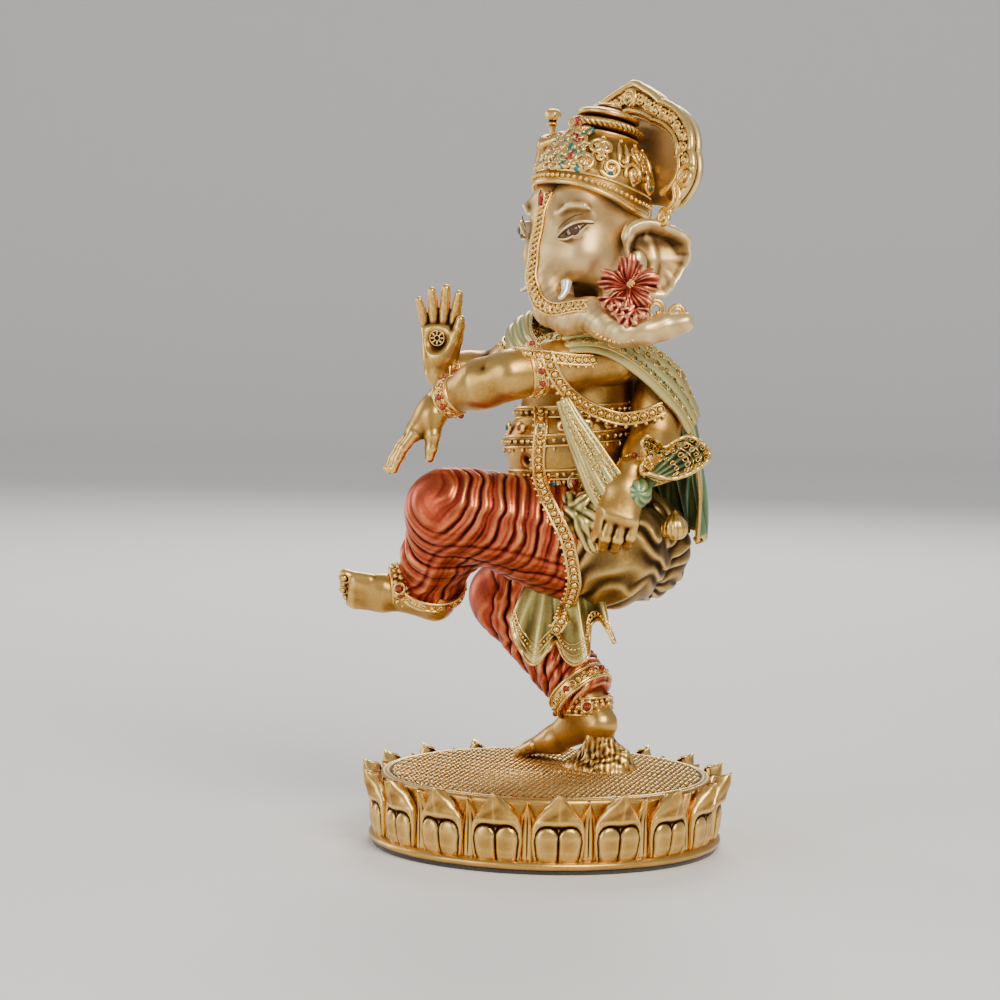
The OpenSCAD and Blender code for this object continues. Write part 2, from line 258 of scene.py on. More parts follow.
def make_mesh(name, verts, faces, material, relief=True, shade=True):
    """A mesh object from points in mm; faces is an array or a list of tuples."""
    mesh = bpy.data.meshes.new(name)
    verts = np.asarray(verts, float)
    if isinstance(faces, np.ndarray):
        n, size = faces.shape
        mesh.vertices.add(len(verts))
        mesh.vertices.foreach_set("co", (verts * MM).ravel().astype(np.float32))
        mesh.loops.add(n * size)
        mesh.loops.foreach_set("vertex_index", faces.ravel().astype(np.int32))
        mesh.polygons.add(n)
        mesh.polygons.foreach_set("loop_start", np.arange(0, n * size, size, dtype=np.int32))
        mesh.update(calc_edges=True)
    else:
        mesh.from_pydata((verts * MM).tolist(), [], [tuple(int(i) for i in f) for f in faces])
        mesh.update()
    if shade:
        mesh.polygons.foreach_set("use_smooth", np.ones(len(mesh.polygons), bool))
    obj = bpy.data.objects.new(name, mesh)
    bpy.context.scene.collection.objects.link(obj)
    mesh.materials.append(material)
    if relief and isinstance(faces, np.ndarray) and len(verts):
        set_relief(obj, verts, faces)
    return obj


def set_relief(obj, verts, faces):
    """Stores how hollow (towards 0) or raised (towards 1) the surface is, at a fine and a broad scale; the materials
    use it for patina together with painted shade in the hollows and painted highlight on raised edges.
    """
    mesh = obj.data
    normals = np.empty(len(verts) * 3, np.float32)
    mesh.vertices.foreach_get("normal", normals)
    normals = normals.reshape(-1, 3)
    edge = verts[faces[:, 0]] - verts[faces[:, 1]]
    pitch = max(float(np.sqrt((edge ** 2).sum(1)).mean()), 0.05)
    for key, reach, gain in (("relief", 0.9, 2.1), ("hollow", 2.6, 0.6)):
        rounds = int(np.clip((reach / pitch) ** 2 * 1.6, 2, 60))
        h = hollowness(verts, faces, normals, rounds)
        values = np.clip(0.5 - h * gain, 0, 1).astype(np.float32)
        mesh.attributes.new(key, "FLOAT", "POINT").data.foreach_set("value", values)


def set_flat_relief(obj, value):
    """A made mesh that carries no relief of its own gets one value all over."""
    n = len(obj.data.vertices)
    for key in ("relief", "hollow"):
        data = obj.data.attributes.new(key, "FLOAT", "POINT").data
        data.foreach_set("value", np.full(n, value, np.float32))


def place(obj, slot, *nodes):
    """Rides on the figure and stands for the CAD nodes named, which it hides; slot is not used."""
    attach(obj, "root")
    if nodes:
        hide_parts(*nodes)
    return obj


class Parts:
    """Collects many small shapes, each an array of points and of quads, into one mesh."""

    def __init__(self):
        self.verts, self.faces, self.count = [], [], 0

    def add(self, verts, faces):
        self.verts.append(verts)
        self.faces.append(outward(verts, np.asarray(faces)) + self.count)
        self.count += len(verts)
        return self

    def mesh(self, name, material, relief=True):
        return make_mesh(name, np.concatenate(self.verts), np.concatenate(self.faces), material, relief)


def grid_faces(rows, cols, wrap_rows=False, wrap_cols=False):
    r = np.arange(rows if wrap_rows else rows - 1)
    c = np.arange(cols if wrap_cols else cols - 1)
    i, j = np.meshgrid(r, c, indexing="ij")
    i, j = i.ravel(), j.ravel()
    i2, j2 = (i + 1) % rows, (j + 1) % cols
    return np.stack([i * cols + j, i * cols + j2, i2 * cols + j2, i2 * cols + j], 1)


def sphere_shape(segments=12, rings=8):
    """Unit ball as quads, its poles left as small holes inside a tiny ring."""
    lat = np.linspace(-math.pi / 2 + 0.02, math.pi / 2 - 0.02, rings)
    lon = np.arange(segments) * 2 * math.pi / segments
    la, lo = np.meshgrid(lat, lon, indexing="ij")
    verts = np.stack([np.cos(la) * np.cos(lo), np.cos(la) * np.sin(lo), np.sin(la)], -1).reshape(-1, 3)
    faces = grid_faces(rows=rings, cols=segments, wrap_cols=True)
    return verts, faces


BALL = sphere_shape(12, 8)
SMALL_BALL = sphere_shape(8, 6)


def add_bead(parts, centre, radii, axes=None, shape=BALL):
    verts = shape[0] * np.asarray(radii, float)
    if axes is not None:
        verts = verts @ axes
    parts.add(verts + centre, shape[1])


def path_points(points, n, closed=False):
    """n points evenly spaced along a smooth (Catmull-Rom) curve through the points."""
    pts = np.asarray(points, float)
    m = len(pts)
    dense = []
    spans = m if closed else m - 1
    for i in range(spans):
        a, b, c, d = (pts[(i + k) % m] if closed else pts[min(max(i + k, 0), m - 1)] for k in (-1, 0, 1, 2))
        t = np.linspace(0, 1, 24, endpoint=False)[:, None]
        dense.append(0.5 * (2 * b + (c - a) * t + (2 * a - 5 * b + 4 * c - d) * t ** 2
                            + (3 * b - a - 3 * c + d) * t ** 3))
    dense.append(pts[:1] if closed else pts[-1:])
    dense = np.concatenate(dense)
    s = np.concatenate([[0], np.cumsum(np.linalg.norm(np.diff(dense, axis=0), axis=1))])
    want = np.linspace(0, s[-1], n, endpoint=not closed)
    return np.stack([np.interp(want, s, dense[:, i]) for i in range(dense.shape[1])], 1)


def path_length(points):
    pts = path_points(points, 200)
    return float(np.linalg.norm(np.diff(pts, axis=0), axis=1).sum())


def path_frames(pts, closed=False):
    """Tangents and a twist-free pair of side directions along dense points."""
    if closed:
        tangents = np.roll(pts, -1, 0) - np.roll(pts, 1, 0)
    else:
        tangents = np.gradient(pts, axis=0)
    tangents /= np.linalg.norm(tangents, axis=1)[:, None] + 1e-9
    side = np.cross(tangents[0], V(0.13, 0.2, 1.0))
    sides = []
    for t in tangents:
        side = side - t * (side @ t)
        side = unit(side)
        sides.append(side)
    sides = np.array(sides)
    return tangents, sides, np.cross(tangents, sides)


def add_tube(parts, pts, radius, sides=8, closed=False, flat=None, up=None):
    """A tube along dense points; radius is one number or one per point. flat squashes it across up."""
    n = len(pts)
    radius = np.broadcast_to(np.asarray(radius, float), (n,))
    tangents, a, b = path_frames(pts, closed)
    if up is not None:
        up = np.broadcast_to(np.asarray(up, float), (n, 3))
        b = up - tangents * np.einsum("ij,ij->i", up, tangents)[:, None]
        b /= np.linalg.norm(b, axis=1)[:, None] + 1e-9
        a = np.cross(b, tangents)
    ang = np.arange(sides) * 2 * math.pi / sides
    squash = 1.0 if flat is None else flat
    ring = (np.cos(ang)[None, :, None] * a[:, None, :] + squash * np.sin(ang)[None, :, None] * b[:, None, :])
    verts = (pts[:, None, :] + radius[:, None, None] * ring).reshape(-1, 3)
    faces = [grid_faces(n, sides, wrap_rows=closed, wrap_cols=True)]
    if not closed:
        tips = np.stack([pts[0] - tangents[0] * radius[0] * 0.7, pts[-1] + tangents[-1] * radius[-1] * 0.7])
        base = len(verts)
        verts = np.concatenate([verts, tips])
        k = np.arange(0, sides, 2)
        faces.append(np.stack([np.full(len(k), base), (k + 2) % sides, (k + 1) % sides, k], 1))
        last = (n - 1) * sides
        faces.append(np.stack([np.full(len(k), base + 1), last + k, last + (k + 1) % sides,
                               last + (k + 2) % sides], 1))
    parts.add(verts, np.concatenate(faces))


def add_bead_row(parts, points, radius, pitch=2.1, shape=SMALL_BALL, closed=False, squash=None, lift=None):
    """Beads along a path, a pitch of that many radii apart."""
    length = path_length(points)
    n = max(2, int(length / (radius * pitch)))
    for q in path_points(points, n, closed):
        add_bead(parts, q if lift is None else q + lift, (radius,) * 3 if squash is None else squash, shape=shape)


def add_torus(parts, centre, axes, major, minor, seg=48, sides=10, wobble=None, stretch=(1, 1)):
    t = np.arange(seg) * 2 * math.pi / seg
    pts = centre + (np.cos(t)[:, None] * stretch[0] * axes[0] + np.sin(t)[:, None] * stretch[1] * axes[1]) * major
    if wobble is not None:
        pts = pts + wobble(t)[:, None] * axes[2]
    add_tube(parts, pts, minor, sides, closed=True)


def lathe(profile, centre, axes, seg=96, shape=None):
    """Revolves (radius, height) pairs round axes[2]; shape(angle, radius, height) may alter both."""
    prof = np.asarray(profile, float)
    t = np.arange(seg) * 2 * math.pi / seg
    r, a = np.meshgrid(prof[:, 0], t, indexing="ij")
    h = np.broadcast_to(prof[:, 1][:, None], r.shape)
    if shape is not None:
        r, h = shape(a, r, h)
    verts = (centre + (r * np.cos(a))[..., None] * axes[0] + (r * np.sin(a))[..., None] * axes[1]
             + h[..., None] * axes[2])
    return verts.reshape(-1, 3), grid_faces(len(prof), seg, wrap_cols=True)[:, ::-1]


def thick_sheet(front, thickness, closed_cols=False):
    """Quads for a sheet given as rows of points, made solid by that thickness behind it."""
    rows, cols = front.shape[:2]
    du = np.gradient(front, axis=0)
    dv = np.gradient(front, axis=1)
    n = np.cross(du, dv)
    n /= np.linalg.norm(n, axis=-1, keepdims=True) + 1e-9
    t = np.asarray(thickness, float)
    t = t[..., None] if t.ndim == 2 else t
    back = front - n * t
    verts = np.concatenate([front.reshape(-1, 3), back.reshape(-1, 3)])
    f = grid_faces(rows, cols, wrap_cols=closed_cols)
    m = rows * cols
    faces = [f, f[:, ::-1] + m]

    def skirt(index):
        i, j = index[:-1], index[1:]
        faces.append(np.stack([i, i + m, j + m, j], 1))

    skirt(np.arange(cols))
    skirt((rows - 1) * cols + np.arange(cols)[::-1])
    if not closed_cols:
        skirt((np.arange(rows) * cols)[::-1])
        skirt(np.arange(rows) * cols + cols - 1)
    return verts, np.concatenate(faces)


def quad_mesh_smooth(obj, levels=1):
    m = obj.modifiers.new("smooth", "SUBSURF")
    m.levels = m.render_levels = levels
    return obj


# ---------------------------------------------------------------- materials

def ramp_node(tree, stops, x, y):
    node = tree.nodes.new("ShaderNodeValToRGB")
    node.location = (x, y)
    ramp = node.color_ramp
    while len(ramp.elements) > 1:
        ramp.elements.remove(ramp.elements[-1])
    ramp.elements[0].position, ramp.elements[0].color = stops[0][0], (*stops[0][1], 1)
    for position, colour in stops[1:]:
        element = ramp.elements.new(position)
        element.color = (*colour, 1)
    return node


def math_node(tree, operation, a, b, c=None):
    node = tree.nodes.new("ShaderNodeMath")
    node.operation = operation
    for socket, value in zip(node.inputs, (a, b, c)):
        if isinstance(value, (int, float)):
            socket.default_value = value
        elif value is not None:
            tree.links.new(value, socket)
    return node.outputs[0]


def noise_node(tree, coords, scale, detail=4.0, roughness=0.55):
    node = tree.nodes.new("ShaderNodeTexNoise")
    node.inputs["Scale"].default_value = scale
    node.inputs["Detail"].default_value = detail
    node.inputs["Roughness"].default_value = roughness
    tree.links.new(coords, node.inputs["Vector"])
    return node.outputs["Fac"]


def attribute_node(tree, name):
    node = tree.nodes.new("ShaderNodeAttribute")
    node.attribute_name = name
    return node.outputs["Fac"]


def new_material(name):
    material = bpy.data.materials.new(name)
    material.use_nodes = True
    tree = material.node_tree
    shader = tree.nodes["Principled BSDF"]
    coords = tree.nodes.new("ShaderNodeTexCoord").outputs["Object"]
    return material, tree, shader, coords


def antique_with_painted_light(name, stops, metallic=1.0, rough=(0.62, 0.27), grain=0.35, speckle=0.12, mottle=0.18,
            coat=0.0):
    """Cast metal coloured from its relief: stops run from the hollows to the raised edges, and rough gives the
    roughness at those two ends.
    The dark stops in the hollows are partly real patina and partly painted shade; the bright stops on the raised edges
    are partly the real finish and partly painted highlight."""
    material, tree, shader, coords = new_material(name)
    relief = attribute_node(tree, "relief")
    hollow = attribute_node(tree, "hollow")
    cloudy = noise_node(tree, coords, 55.0, 5.0, 0.6)
    fine = noise_node(tree, coords, 900.0, 3.0, 0.6)
    # height mixes fine relief with broad hollowness: its low end paints shade into hollows, its high end paints
    # highlight on raised edges
    height = math_node(tree, "MULTIPLY", relief, 0.62)
    height = math_node(tree, "MULTIPLY_ADD", hollow, 0.38, height)
    cloud_shift = math_node(tree, "MULTIPLY_ADD", cloudy, mottle, -mottle / 2)
    height = math_node(tree, "ADD", height, cloud_shift)
    fine_shift = math_node(tree, "MULTIPLY_ADD", fine, speckle, -speckle / 2)
    height = math_node(tree, "ADD", height, fine_shift)
    ramp = ramp_node(tree, stops, -200, 200)
    tree.links.new(height, ramp.inputs["Fac"])
    tree.links.new(ramp.outputs["Color"], shader.inputs["Base Color"])
    shader.inputs["Metallic"].default_value = metallic
    to_rough = tree.nodes.new("ShaderNodeMapRange")
    tree.links.new(height, to_rough.inputs["Value"])
    to_rough.inputs["From Min"].default_value = 0.3
    to_rough.inputs["From Max"].default_value = 0.65
    to_rough.inputs["To Min"].default_value, to_rough.inputs["To Max"].default_value = rough
    wear = math_node(tree, "MULTIPLY_ADD", cloudy, 0.16, -0.08)
    tree.links.new(math_node(tree, "ADD", to_rough.outputs[0], wear), shader.inputs["Roughness"])
    bump_node = tree.nodes.new("ShaderNodeBump")
    bump_node.inputs["Strength"].default_value = grain
    bump_node.inputs["Distance"].default_value = 0.00018
    coarse = noise_node(tree, coords, 420.0, 4.0, 0.65)
    tree.links.new(math_node(tree, "MULTIPLY_ADD", fine, 0.4, coarse), bump_node.inputs["Height"])
    tree.links.new(bump_node.outputs["Normal"], shader.inputs["Normal"])
    if coat:
        shader.inputs["Coat Weight"].default_value = coat
        shader.inputs["Coat Roughness"].default_value = 0.2
    return material


# The dark ends of these stops paint shade into the hollows and the bright ends paint highlights onto raised edges, on
# top of the real patina and finish
BRASS = antique_with_painted_light("antique_brass", [
    (0.20, (0.018, 0.007, 0.002)), (0.37, (0.085, 0.036, 0.008)), (0.46, (0.27, 0.132, 0.028)),
    (0.55, (0.52, 0.29, 0.070)), (0.74, (0.86, 0.55, 0.165))])
DARK_BRASS = antique_with_painted_light("dark_brass", [
    (0.22, (0.015, 0.006, 0.002)), (0.42, (0.065, 0.030, 0.007)), (0.54, (0.21, 0.108, 0.024)),
    (0.66, (0.46, 0.265, 0.066)), (0.82, (0.82, 0.54, 0.18))], rough=(0.68, 0.34))
RED = antique_with_painted_light("red_wash", [
    (0.2, (0.018, 0.003, 0.002)), (0.36, (0.085, 0.010, 0.005)), (0.47, (0.29, 0.032, 0.013)),
    (0.58, (0.48, 0.078, 0.028)), (0.72, (0.70, 0.20, 0.068)), (0.90, (0.86, 0.47, 0.17))],
    metallic=0.92, rough=(0.6, 0.3))
GREEN = antique_with_painted_light("green_wash", [
    (0.2, (0.012, 0.012, 0.004)), (0.38, (0.05, 0.055, 0.019)), (0.48, (0.12, 0.17, 0.072)),
    (0.58, (0.155, 0.27, 0.125)), (0.74, (0.25, 0.39, 0.19)), (0.90, (0.60, 0.50, 0.19))],
    metallic=0.8, rough=(0.62, 0.36))
OLIVE = antique_with_painted_light("olive_gold", [
    (0.2, (0.024, 0.014, 0.004)), (0.40, (0.10, 0.070, 0.017)), (0.50, (0.25, 0.19, 0.052)),
    (0.60, (0.44, 0.35, 0.105)), (0.80, (0.84, 0.62, 0.22))], metallic=0.92, rough=(0.6, 0.32))
BRONZE = antique_with_painted_light("bronze_cloth", [
    (0.2, (0.018, 0.008, 0.003)), (0.40, (0.085, 0.042, 0.012)), (0.50, (0.22, 0.12, 0.033)),
    (0.60, (0.40, 0.25, 0.072)), (0.80, (0.76, 0.51, 0.17))], metallic=0.95, rough=(0.62, 0.34))
BRIGHT = antique_with_painted_light("bright_brass", [
    (0.25, (0.05, 0.021, 0.005)), (0.40, (0.26, 0.13, 0.028)), (0.50, (0.57, 0.34, 0.085)),
    (0.72, (0.92, 0.62, 0.20))], rough=(0.5, 0.26), speckle=0.08)
PEARL = antique_with_painted_light("pearl_gold", [
    (0.2, (0.040, 0.017, 0.005)), (0.38, (0.22, 0.115, 0.034)), (0.47, (0.50, 0.32, 0.125)),
    (0.56, (0.70, 0.47, 0.20)), (0.74, (0.92, 0.69, 0.335))],
    metallic=0.85, rough=(0.55, 0.33), grain=0.14, speckle=0.06, mottle=0.16)
RED_JEWEL = antique_with_painted_light("red_jewel", [
    (0.3, (0.04, 0.003, 0.002)), (0.5, (0.15, 0.006, 0.003)), (0.8, (0.33, 0.024, 0.009))],
    metallic=0.3, rough=(0.35, 0.2), grain=0.05, coat=0.25)
TEAL_JEWEL = antique_with_painted_light("teal_jewel", [
    (0.3, (0.004, 0.015, 0.014)), (0.5, (0.009, 0.052, 0.047)), (0.8, (0.026, 0.13, 0.112))],
    metallic=0.3, rough=(0.35, 0.2), grain=0.05, coat=0.25)


def felt():
    material, tree, shader, coords = new_material("felt")
    fibres = noise_node(tree, coords, 1500.0, 6.0, 0.7)
    ramp = ramp_node(tree, [(0.3, (0.02, 0.017, 0.014)), (0.7, (0.075, 0.065, 0.055))], -200, 200)
    tree.links.new(fibres, ramp.inputs["Fac"])
    tree.links.new(ramp.outputs["Color"], shader.inputs["Base Color"])
    shader.inputs["Roughness"].default_value = 0.95
    shader.inputs["Sheen Weight"].default_value = 0.4
    bump_node = tree.nodes.new("ShaderNodeBump")
    bump_node.inputs["Strength"].default_value = 0.7
    bump_node.inputs["Distance"].default_value = 0.0003
    tree.links.new(fibres, bump_node.inputs["Height"])
    tree.links.new(bump_node.outputs["Normal"], shader.inputs["Normal"])
    return material


def turned_steel():
    material, tree, shader, coords = new_material("turned_steel")
    lines = noise_node(tree, coords, 700.0, 3.0, 0.5)
    ramp = ramp_node(tree, [(0.3, (0.42, 0.42, 0.43)), (0.7, (0.66, 0.66, 0.67))], -200, 200)
    tree.links.new(lines, ramp.inputs["Fac"])
    tree.links.new(ramp.outputs["Color"], shader.inputs["Base Color"])
    shader.inputs["Metallic"].default_value = 1.0
    tree.links.new(math_node(tree, "MULTIPLY_ADD", lines, 0.25, 0.25), shader.inputs["Roughness"])
    return material


FELT = felt()
STEEL = turned_steel()


# ---------------------------------------------------------------- camera, light and floor

CAMERA_AZIMUTH, CAMERA_PITCH, CAMERA_PAN, CAMERA_ROLL = 45.5, 4.0, 0.985, 1.2   # degrees
CAMERA_DISTANCE, CAMERA_HEIGHT, CAMERA_LENS = 1.05, 0.194, 108.25              # metres, metres, mm


def camera():
    data = bpy.data.cameras.new("camera")
    data.lens = CAMERA_LENS
    data.clip_start, data.clip_end = 0.02, 20
    obj = bpy.data.objects.new("camera", data)
    bpy.context.scene.collection.objects.link(obj)
    a = math.radians(CAMERA_AZIMUTH)
    obj.location = (CAMERA_DISTANCE * math.sin(a), -CAMERA_DISTANCE * math.cos(a), CAMERA_HEIGHT)
    pan, pitch, roll = (math.radians(v) for v in (CAMERA_PAN, CAMERA_PITCH, CAMERA_ROLL))
    look = Vector((-math.sin(a), math.cos(a), 0))
    right = Vector((math.cos(a), math.sin(a), 0))
    look = look * math.cos(pan) - right * math.sin(pan)
    look = look * math.cos(pitch) + Vector((0, 0, -1)) * math.sin(pitch)
    obj.rotation_mode = "QUATERNION"
    obj.rotation_quaternion = look.to_track_quat("-Z", "Y") @ Quaternion((0, 0, 1), roll)
    bpy.context.scene.camera = obj


def area_light(name, location, target, size, power, colour):
    data = bpy.data.lights.new(name, "AREA")
    data.shape = "RECTANGLE"
    data.size, data.size_y = size
    data.energy, data.color = power, colour
    obj = bpy.data.objects.new(name, data)
    obj.location = location
    obj.rotation_mode = "QUATERNION"
    obj.rotation_quaternion = (Vector(target) - Vector(location)).to_track_quat("-Z", "Y")
    bpy.context.scene.collection.objects.link(obj)


def stage():
    size, rise, bend = 3.0, 2.2, 0.5
    rows = [(-size, 0.0), (size - bend, 0.0)]
    rows += [(size - bend + bend * math.sin(t), bend - bend * math.cos(t))
             for t in np.linspace(0.1, math.pi / 2, 12)]
    rows += [(size, rise)]
    floor = bpy.data.meshes.new("floor")
    a = math.radians(CAMERA_AZIMUTH)
    away, side = Vector((-math.sin(a), math.cos(a), 0)), Vector((math.cos(a), math.sin(a), 0))
    verts = [away * y + side * x + Vector((0, 0, z)) for y, z in rows for x in (-4, 4)]
    faces = [(2 * i, 2 * i + 1, 2 * i + 3, 2 * i + 2) for i in range(len(rows) - 1)]
    floor.from_pydata([tuple(v) for v in verts], [], faces)
    floor.polygons.foreach_set("use_smooth", [True] * len(faces))
    obj = bpy.data.objects.new("floor", floor)
    bpy.context.scene.collection.objects.link(obj)
    material, tree, shader, coords = new_material("pale_floor")
    shader.inputs["Base Color"].default_value = (0.84, 0.82, 0.79, 1)
    shader.inputs["Roughness"].default_value = 0.75
    floor.materials.append(material)
    world = bpy.data.worlds.new("studio")
    world.use_nodes = True
    world.node_tree.nodes["Background"].inputs[0].default_value = (0.80, 0.82, 0.86, 1)
    world.node_tree.nodes["Background"].inputs[1].default_value = 0.6
    bpy.context.scene.world = world
    area_light("key", (1.15, -0.35, 1.0), (0, 0, 0.15), (0.7, 0.7), 19, (1.0, 0.94, 0.84))
    area_light("fill", (-0.2, -1.4, 0.5), (0, 0, 0.13), (0.9, 0.9), 7, (0.92, 0.95, 1.0))
    area_light("rim", (-0.9, 1.0, 0.9), (0, 0, 0.16), (0.6, 0.6), 11, (1.0, 0.97, 0.92))
    area_light("left", (-1.3, -0.3, 0.45), (0, 0, 0.12), (0.5, 0.9), 5, (1.0, 0.96, 0.9))


camera()
stage()


# ---------------------------------------------------------------- landmarks

base_lo, base_hi = box("lotus_base")
top_z = box("seed_disc")[1][2] - 0.4      # the ground that the figure stands on
axis_xy = (base_lo[:2] + base_hi[:2]) / 2

pelvis_c = middle("pelvis")
pelvis_r = (box("pelvis")[1] - box("pelvis")[0])[0] / 2
left_knee = ball_in("raised_thigh", (-1, -1, 1), 13.5)
left_ankle = ball_in("raised_calf", (-1, 1, -1), 11.5)
left_hip = pelvis_c + V(8, -14, -1)
left_toe = left_ankle + V(-19, -22, -3)
left_heel = left_ankle + V(3, 0, -6)
right_hip = pelvis_c + V(-14, 1, -1)
right_ankle = middle("standing_cuff") + V(3, 0.5, -3)
right_knee = right_ankle + V(-37, -6, 34)
right_toe = ball_in("standing_foot", (-1, 0, -1), 4)
right_heel = ball_in("standing_foot", (1, 0, 0), 6)
belly = pelvis_c + V(-10, -18, 33)
waist = pelvis_c + V(-5, -10, 17)
left_shoulder = ball_in("left_upper_arm", (1, 1, 1), 10)
left_elbow = ball_in("left_upper_arm", (-1, -1, -1), 7.5)
left_wrist = ball_in("left_forearm", (-1, -1, -1), 5)
left_tip = ball_in("left_hand", (-1, -1, -1), 2.6)
right_elbow = ball_in("right_upper_arm", (-1, 1, -1), 7.5)
right_shoulder = ball_in("right_upper_arm", (1, -1, 1), 10) * V(0, 1, 1) + V(right_elbow[0] + 24, 0, 0)
right_wrist = ball_in("right_forearm", (-1, -1, 0), 5)
right_tip = ball_in("right_hand", (0, 0, 1), 3)
rear_left_shoulder = ball_in("rear_left_arm", (0, 1, 1), 9.5)
rear_left_wrist = ball_in("rear_left_arm", (1, -1, -1), 5.5)
rear_left_elbow = rear_left_wrist + V(-4, 13, 12)
rear_right_elbow = ball_in("rear_right_arm", (-1, 1, 0), 7)
rear_right_wrist = ball_in("rear_right_arm", (-1, 0, 1), 5) + V(4, 0, 0)
rear_right_shoulder = ball_in("rear_right_arm", (1, 1, -1), 9.5)
fist = ball_in("rear_right_hand", (0, 0, 1), 6.6)
chest = lerp(left_shoulder, right_shoulder, 0.5) + V(2, 4, -11)
neck = chest + V(2, 1, 21)

HEAD_YAW, CROWN_LEAN, HALO_LEAN = -6.0, 13.0, 9.0
head_axes = turn_z(HEAD_YAW).T            # rows: the head's left, back and up
skull_c = V(*(middle("crown_band")[:2]), box("crown_band")[0][2]) + V(1.4, -2.1, -8.2)


def on_head(*local):
    """Point given from the middle of the skull: left, back, up."""
    return skull_c + V(*local) @ head_axes


# ---------------------------------------------------------------- legs in pleated cloth

def around(p, a, b):
    """Distance along the line a-b in mm, and the angle round it from the upward side."""
    axes = frame_axes(b - a).astype(np.float32)
    q = (p - np.float32(a)) @ axes.T
    return q[..., 2], np.arctan2(q[..., 0], q[..., 1])


def pleat(phase, sharp=0.7):
    """Rounded ridges with narrow valleys between them, 0 to 1, once every unit of phase."""
    return np.abs(np.sin(np.pi * phase)) ** sharp


def raised_leg(p):
    length = float(np.linalg.norm(left_knee - left_hip))
    thigh = sd_cone(p, left_hip, left_knee, 21, 13.6)
    sag = sd_cone(p, left_hip + V(-6, -4, -5), lerp(left_hip, left_knee, 0.72) + V(0, 0, -5), 17, 10)
    d = smin(thigh, sag, 5)
    calf = sd_cone(p, left_knee + V(0, 1, -2), left_ankle + V(0, 0, 1), 12.6, 11.2)
    roll = sd_egg(p, lerp(left_knee, left_ankle, 0.62) + V(1, 1, -1), (13.6, 12.8, 7))
    d = smin(d, smin(calf, roll, 3), 7)
    s, angle = around(p, left_hip, left_knee)
    n1 = value_noise(p, 30, 3)
    n2 = value_noise(p, 12, 4)
    fan = (s - 4) * (1 + 0.10 * np.cos(angle)) + 4.5 * np.sin(angle - 0.4) + 1.9 * n1 + 0.8 * n2
    thigh_pleats = pleat(fan / 4.7, 0.8) * (0.8 + 0.35 * n2) + pleat(fan / 4.7 * 1.62 + 0.31, 0.9) * 0.34
    on_thigh = smooth(s, -10, 2) * (1 - smooth(s, length - 1, length + 9))
    s2, angle2 = around(p, left_knee, left_ankle)
    shin = s2 * 0.9 + 5.0 * np.cos(angle2 + 0.6) + 1.6 * n1 + 0.8 * n2
    calf_pleats = pleat(shin / 5.6, 0.75) * (1.0 + 0.3 * n1) + pleat(shin / 3.1 + 0.2, 0.9) * 0.25
    on_calf = smooth(s2, -9, 3) * (1 - 0.55 * smooth(s2, 24, 33))
    weight = np.clip(on_calf - on_thigh * 0.5, 0, 1)
    press = thigh_pleats * on_thigh * (1 - weight) + calf_pleats * weight
    d = d - 1.05 * press + 0.4
    mouth = sd_plane(p, left_ankle + unit(left_ankle - left_knee) * 6.2, left_ankle - left_knee)
    d = smax(d, mouth, 1.0)
    return d


def standing_leg(p):
    thigh = sd_cone(p, right_hip, right_knee, 18, 12.2)
    calf = sd_cone(p, right_knee, right_ankle, 12.0, 9.2)
    d = smin(thigh, calf, 6)
    d = smin(d, sd_cone(p, lerp(right_knee, right_ankle, 0.45) + V(2, 2, -1),
                        lerp(right_knee, right_ankle, 0.85) + V(2, 1, 0), 9.6, 9.6), 4)
    s, angle = around(p, right_knee, right_ankle)
    n1 = value_noise(p, 22, 8)
    n2 = value_noise(p, 9, 9)
    sweep = s * 0.62 + angle * 5.2 + 2.0 * n1 + 0.9 * n2
    folds = (pleat(sweep / 5.0, 0.75) * (0.95 + 0.3 * n2) + pleat(sweep / 2.9, 0.9) * 0.25)
    folds = folds * (1 - smooth(s, 34, 44) * 0.6)
    rings = pleat((s + 2.2 * np.cos(angle) + 0.8 * n1) / 3.6) * smooth(s, 30, 44)
    s2, angle2 = around(p, right_hip, right_knee)
    upper = pleat((s2 + 4 * np.sin(angle2) + 1.4 * n1) / 4.4) * (1 - smooth(s2, 30, 42))
    shin = smooth(s, -4, 8)
    d = d - 1.15 * (folds * shin + rings * 0.7 + upper * (1 - shin)) + 0.5
    cut = sd_plane(p, right_ankle + unit(right_ankle - right_knee) * 1.5, right_ankle - right_knee)
    return smax(d, cut, 1.0)


def seat(p):
    d = sd_egg(p, pelvis_c + V(0, 2, 0), (pelvis_r + 0.5, pelvis_r - 1, pelvis_r + 0.5))
    d = smin(d, sd_ball(p, pelvis_c + V(6, 4, -2), pelvis_r - 3.5), 5)
    d = smin(d, sd_ball(p, pelvis_c + V(-7, 3, -2), pelvis_r - 4.5), 5)
    n1 = value_noise(p, 20, 12)
    q = p - np.float32(pelvis_c)
    swag = q[..., 2] + 0.035 * (q[..., 0] ** 2) + 0.22 * q[..., 1] + 1.6 * n1
    return d - 1.1 * np.sin(np.pi * (swag / 7.0 + 0.8 * n1)) ** 2 * (0.9 + 0.6 * n1) + 0.5


RED_LIMIT = unit(V(0.70, 0.713, 0))


def red_edge(p):
    """Below 0 on the knee's side of the long garland, where the red cloth ends."""
    return p @ np.float32(RED_LIMIT) - np.float32(8.0) - 0.05 * (p[..., 2] - 100)


def red_leg(p):
    return smax(raised_leg(p), red_edge(p) - 1.0, 0.5)


def hip_cloth(p):
    """Gold cloth over the seat and the outer hip, in swags."""
    thigh = sd_cone(p, left_hip, left_knee, 21, 13.6)
    n1 = value_noise(p, 20, 14)
    q = p - np.float32(left_hip)
    swag = q[..., 2] * 0.8 + 0.03 * (q @ np.float32(V(0.7, 0.71, 0)) - 6) ** 2 + 3.4 * n1
    thigh = thigh - 1.1 * np.sin(np.pi * swag / 7.0) ** 2 * (1 + n1) + 0.5
    d = smin(seat(p), smax(thigh, -red_edge(p) - 0.5, 0.5), 2.5)
    return d


